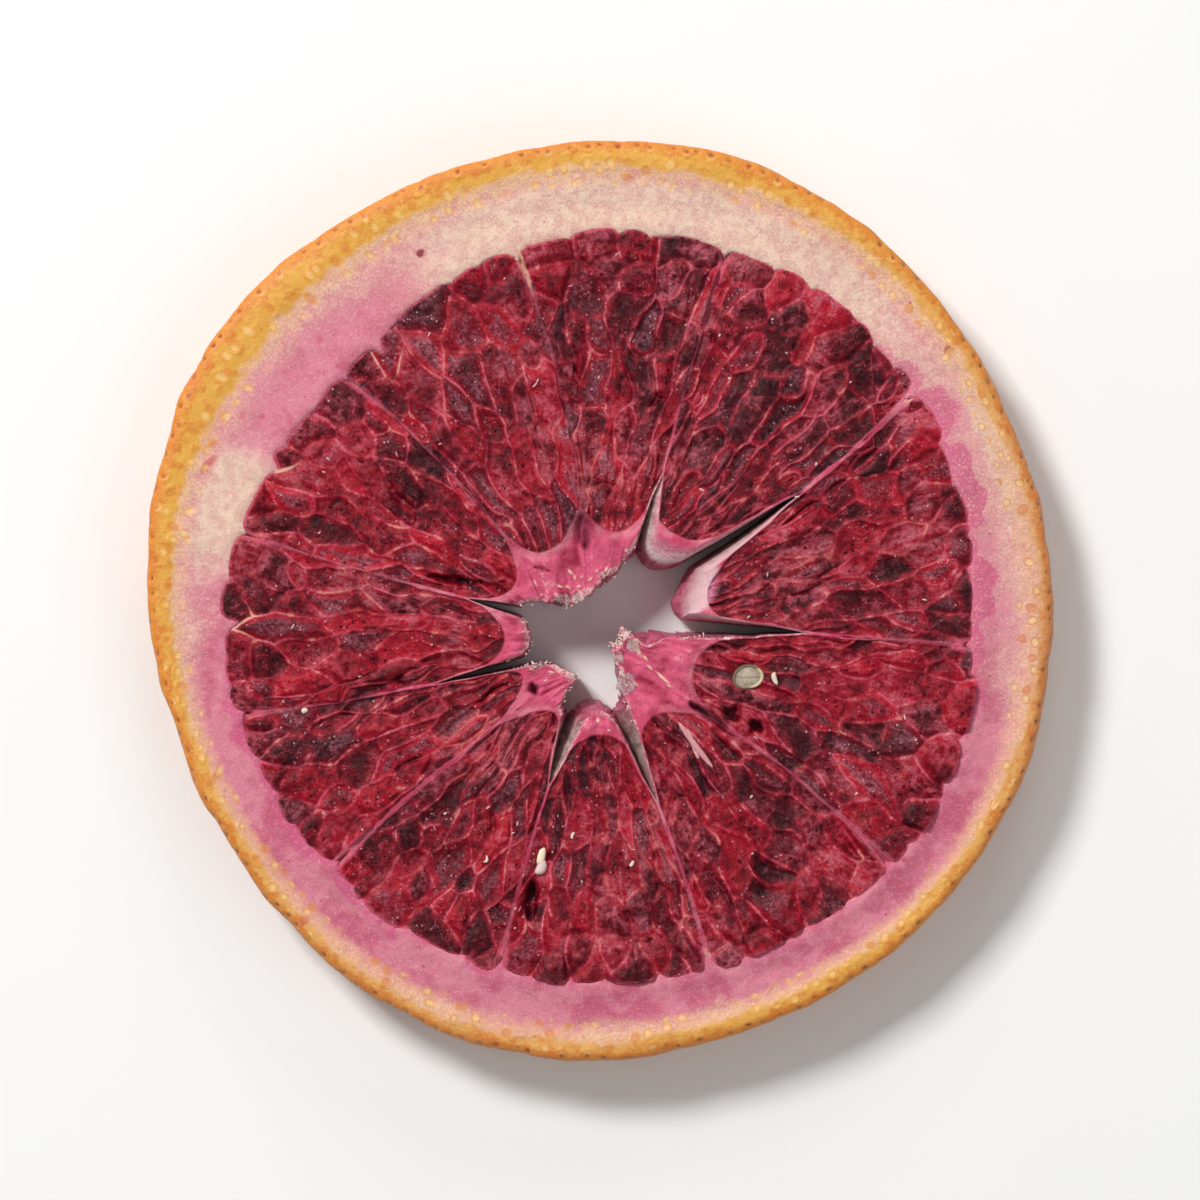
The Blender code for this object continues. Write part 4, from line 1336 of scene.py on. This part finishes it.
def rind_look():
    """Peel: yellow-orange with glands outside, velvety cream to lilac pink inside."""
    web = Web("peel")
    peel, gland, chance, share = web.looks(0)
    blushed, creamy, outside, stained = web.looks(1)
    speck, dull, _, _ = web.looks(2)
    broad = web.grain(3.5, 3.0, 0.6)
    mottle = web.grain(0.9, 3.0, 0.65)
    velvet = web.grain(0.17, 2.0, 0.7)
    fine = web.grain(0.3, 3.0, 0.7)
    pink = web.blend(broad.above(0.42, 0.6), (190, 84, 114), (209, 120, 140))
    pink = web.blend(mottle.above(0.56, 0.7) * 0.35, pink, (192, 72, 96))
    pale = web.blend(mottle.above(0.35, 0.65), (213, 145, 142), (222, 170, 160))
    butter = web.blend(mottle.above(0.4, 0.6), (210, 166, 152), (222, 189, 168))
    flush = (blushed + (broad - 0.5) * 1.0 + (mottle - 0.5) * 0.3).above(0.15, 0.75)
    inner = web.blend(flush, pale, pink)
    inner = web.blend((creamy + (broad - 0.5) * 0.9 + (fine - 0.5) * 0.4).above(0.3, 0.7), inner, butter)
    wet = (stained + (mottle - 0.5) * 1.1 + (fine - 0.5) * 0.5).above(0.4, 0.75)
    inner = web.blend(wet * 0.72, inner, (200, 76, 122))
    near_rim = (share + (mottle - 0.5) * 0.5 + (fine - 0.5) * 0.25).above(0.46, 0.82)
    inner = web.blend(near_rim * 0.75, inner, web.blend(dull, (230, 184, 120), (218, 160, 122)))
    grainy = 1 - flush * 0.6
    inner = web.blend((velvet - 0.5).above(0.0, 0.18) * 0.45 * grainy, inner, (240, 216, 194))
    inner = web.blend((0.5 - velvet).above(0.03, 0.18) * 0.36 * grainy, inner, (190, 104, 108))
    flecks = web.speckles(1.2, 0.2, 0.1, 5.0) + web.speckles(2.4, 0.24, 0.09, 9.0)
    inner = web.blend(flecks * 0.7, inner, (176, 44, 74))
    ripe = (share + (mottle - 0.5) * 0.3 + (fine - 0.5) * 0.3).above(0.84, 0.98)
    zest = web.blend(ripe, (221, 161, 60), (215, 130, 32))
    zest = web.blend(dull * 0.9, zest, web.blend(ripe, (212, 154, 106), (198, 122, 66)))
    zest = web.blend(mottle.above(0.5, 0.64) * 0.5, zest, (206, 108, 30))
    zest = web.blend(velvet.above(0.55, 0.7) * 0.4, zest, (234, 185, 84))
    zest = web.blend(outside * broad.above(0.55, 0.75) * 0.6, zest, (200, 92, 24))
    dark = (1 - gland.above(0.1, 0.26)) * outside
    zest = web.blend(dark * (0.45 + chance * 0.5), zest, (146, 68, 16))
    colour = web.blend(peel, inner, zest)
    colour = web.blend(speck * 0.9, colour, web.blend(speck.above(0.75, 0.9), (190, 40, 62), (112, 12, 30)))
    reach = (share + (mottle - 0.5) * 0.3).above(0.52, 0.6)
    picked = chance.above(0.36, 0.38) * reach * (1 - outside)
    off_ring = gland - 0.22 - chance * 0.15
    disc = (1 - off_ring.above(-0.1, 0.05)) * picked
    filled = web.blend(chance.above(0.82, 0.84), (240, 204, 136), (208, 112, 40))
    colour = web.blend(disc * 0.5, colour, filled)
    band = off_ring.above(-0.15, -0.04) * (1 - off_ring.above(-0.02, 0.08)) * picked
    gold = web.blend(dull, (226, 152, 46), (196, 124, 62))
    colour = web.blend(band * (fine.above(0.3, 0.6) * 0.4 + 0.35), colour, gold)
    relief = web.bump(velvet * 0.6 + fine * 0.5 + mottle * 0.5, 0.07)
    return web.finish(base_color=colour, roughness=0.78 - peel * 0.26, normal=relief)


# ---------------------------------------------------------------- stage


def make_stage():
    """A plain pale floor and soft studio lights."""
    half = 0.9
    mesh = bpy.data.meshes.new("floor")
    corners = [(-half, -half, LOW.z), (half, -half, LOW.z), (half, half, LOW.z), (-half, half, LOW.z)]
    mesh.from_pydata(corners, [], [(0, 1, 2, 3)])
    floor = bpy.data.objects.new("floor", mesh)
    bpy.context.scene.collection.objects.link(floor)
    web = Web("pale_floor")
    cloud = web.grain(40.0)
    plain = web.blend(cloud, (238, 237, 235), (243, 242, 240))
    mesh.materials.append(web.finish(base_color=plain, roughness=0.8))
    for name, place, size, power in (
        ("key", (-0.4, 0.45, 0.6), 0.2, 6.4),
        ("fill", (0.6, -0.35, 0.6), 0.7, 1.6),
        ("back", (0.1, 0.75, 0.35), 0.3, 1.2),
    ):
        lamp = bpy.data.lights.new(name, "AREA")
        lamp.size = size
        lamp.energy = power
        light = bpy.data.objects.new(name, lamp)
        light.location = place
        aim = -light.location
        light.rotation_euler = aim.to_track_quat("-Z", "Y").to_euler()
        bpy.context.scene.collection.objects.link(light)
    world = bpy.data.worlds.new("studio")
    bpy.context.scene.world = world
    world.use_nodes = True
    world.node_tree.nodes["Background"].inputs[0].default_value = (0.95, 0.97, 1.0, 1.0)
    world.node_tree.nodes["Background"].inputs[1].default_value = 0.31


def make_camera():
    seen, height = 0.084, 0.42
    lens = bpy.data.cameras.new("camera")
    lens.sensor_width = 36.0
    lens.lens = 36.0 * height / seen
    camera = bpy.data.objects.new("camera", lens)
    camera.location = (0.0, 0.0, HIGH.z + height)
    bpy.context.scene.collection.objects.link(camera)
    bpy.context.scene.camera = camera
    bpy.context.scene.view_settings.view_transform = "Standard"


pulp = pulp_look()
for number in range(COUNT):
    make_segment(number, pulp)
make_rind(rind_look())
pith = pith_look()
make_fringe(pith)
make_flecks(pith)
make_seed(seed_look())
make_stage()
make_camera()
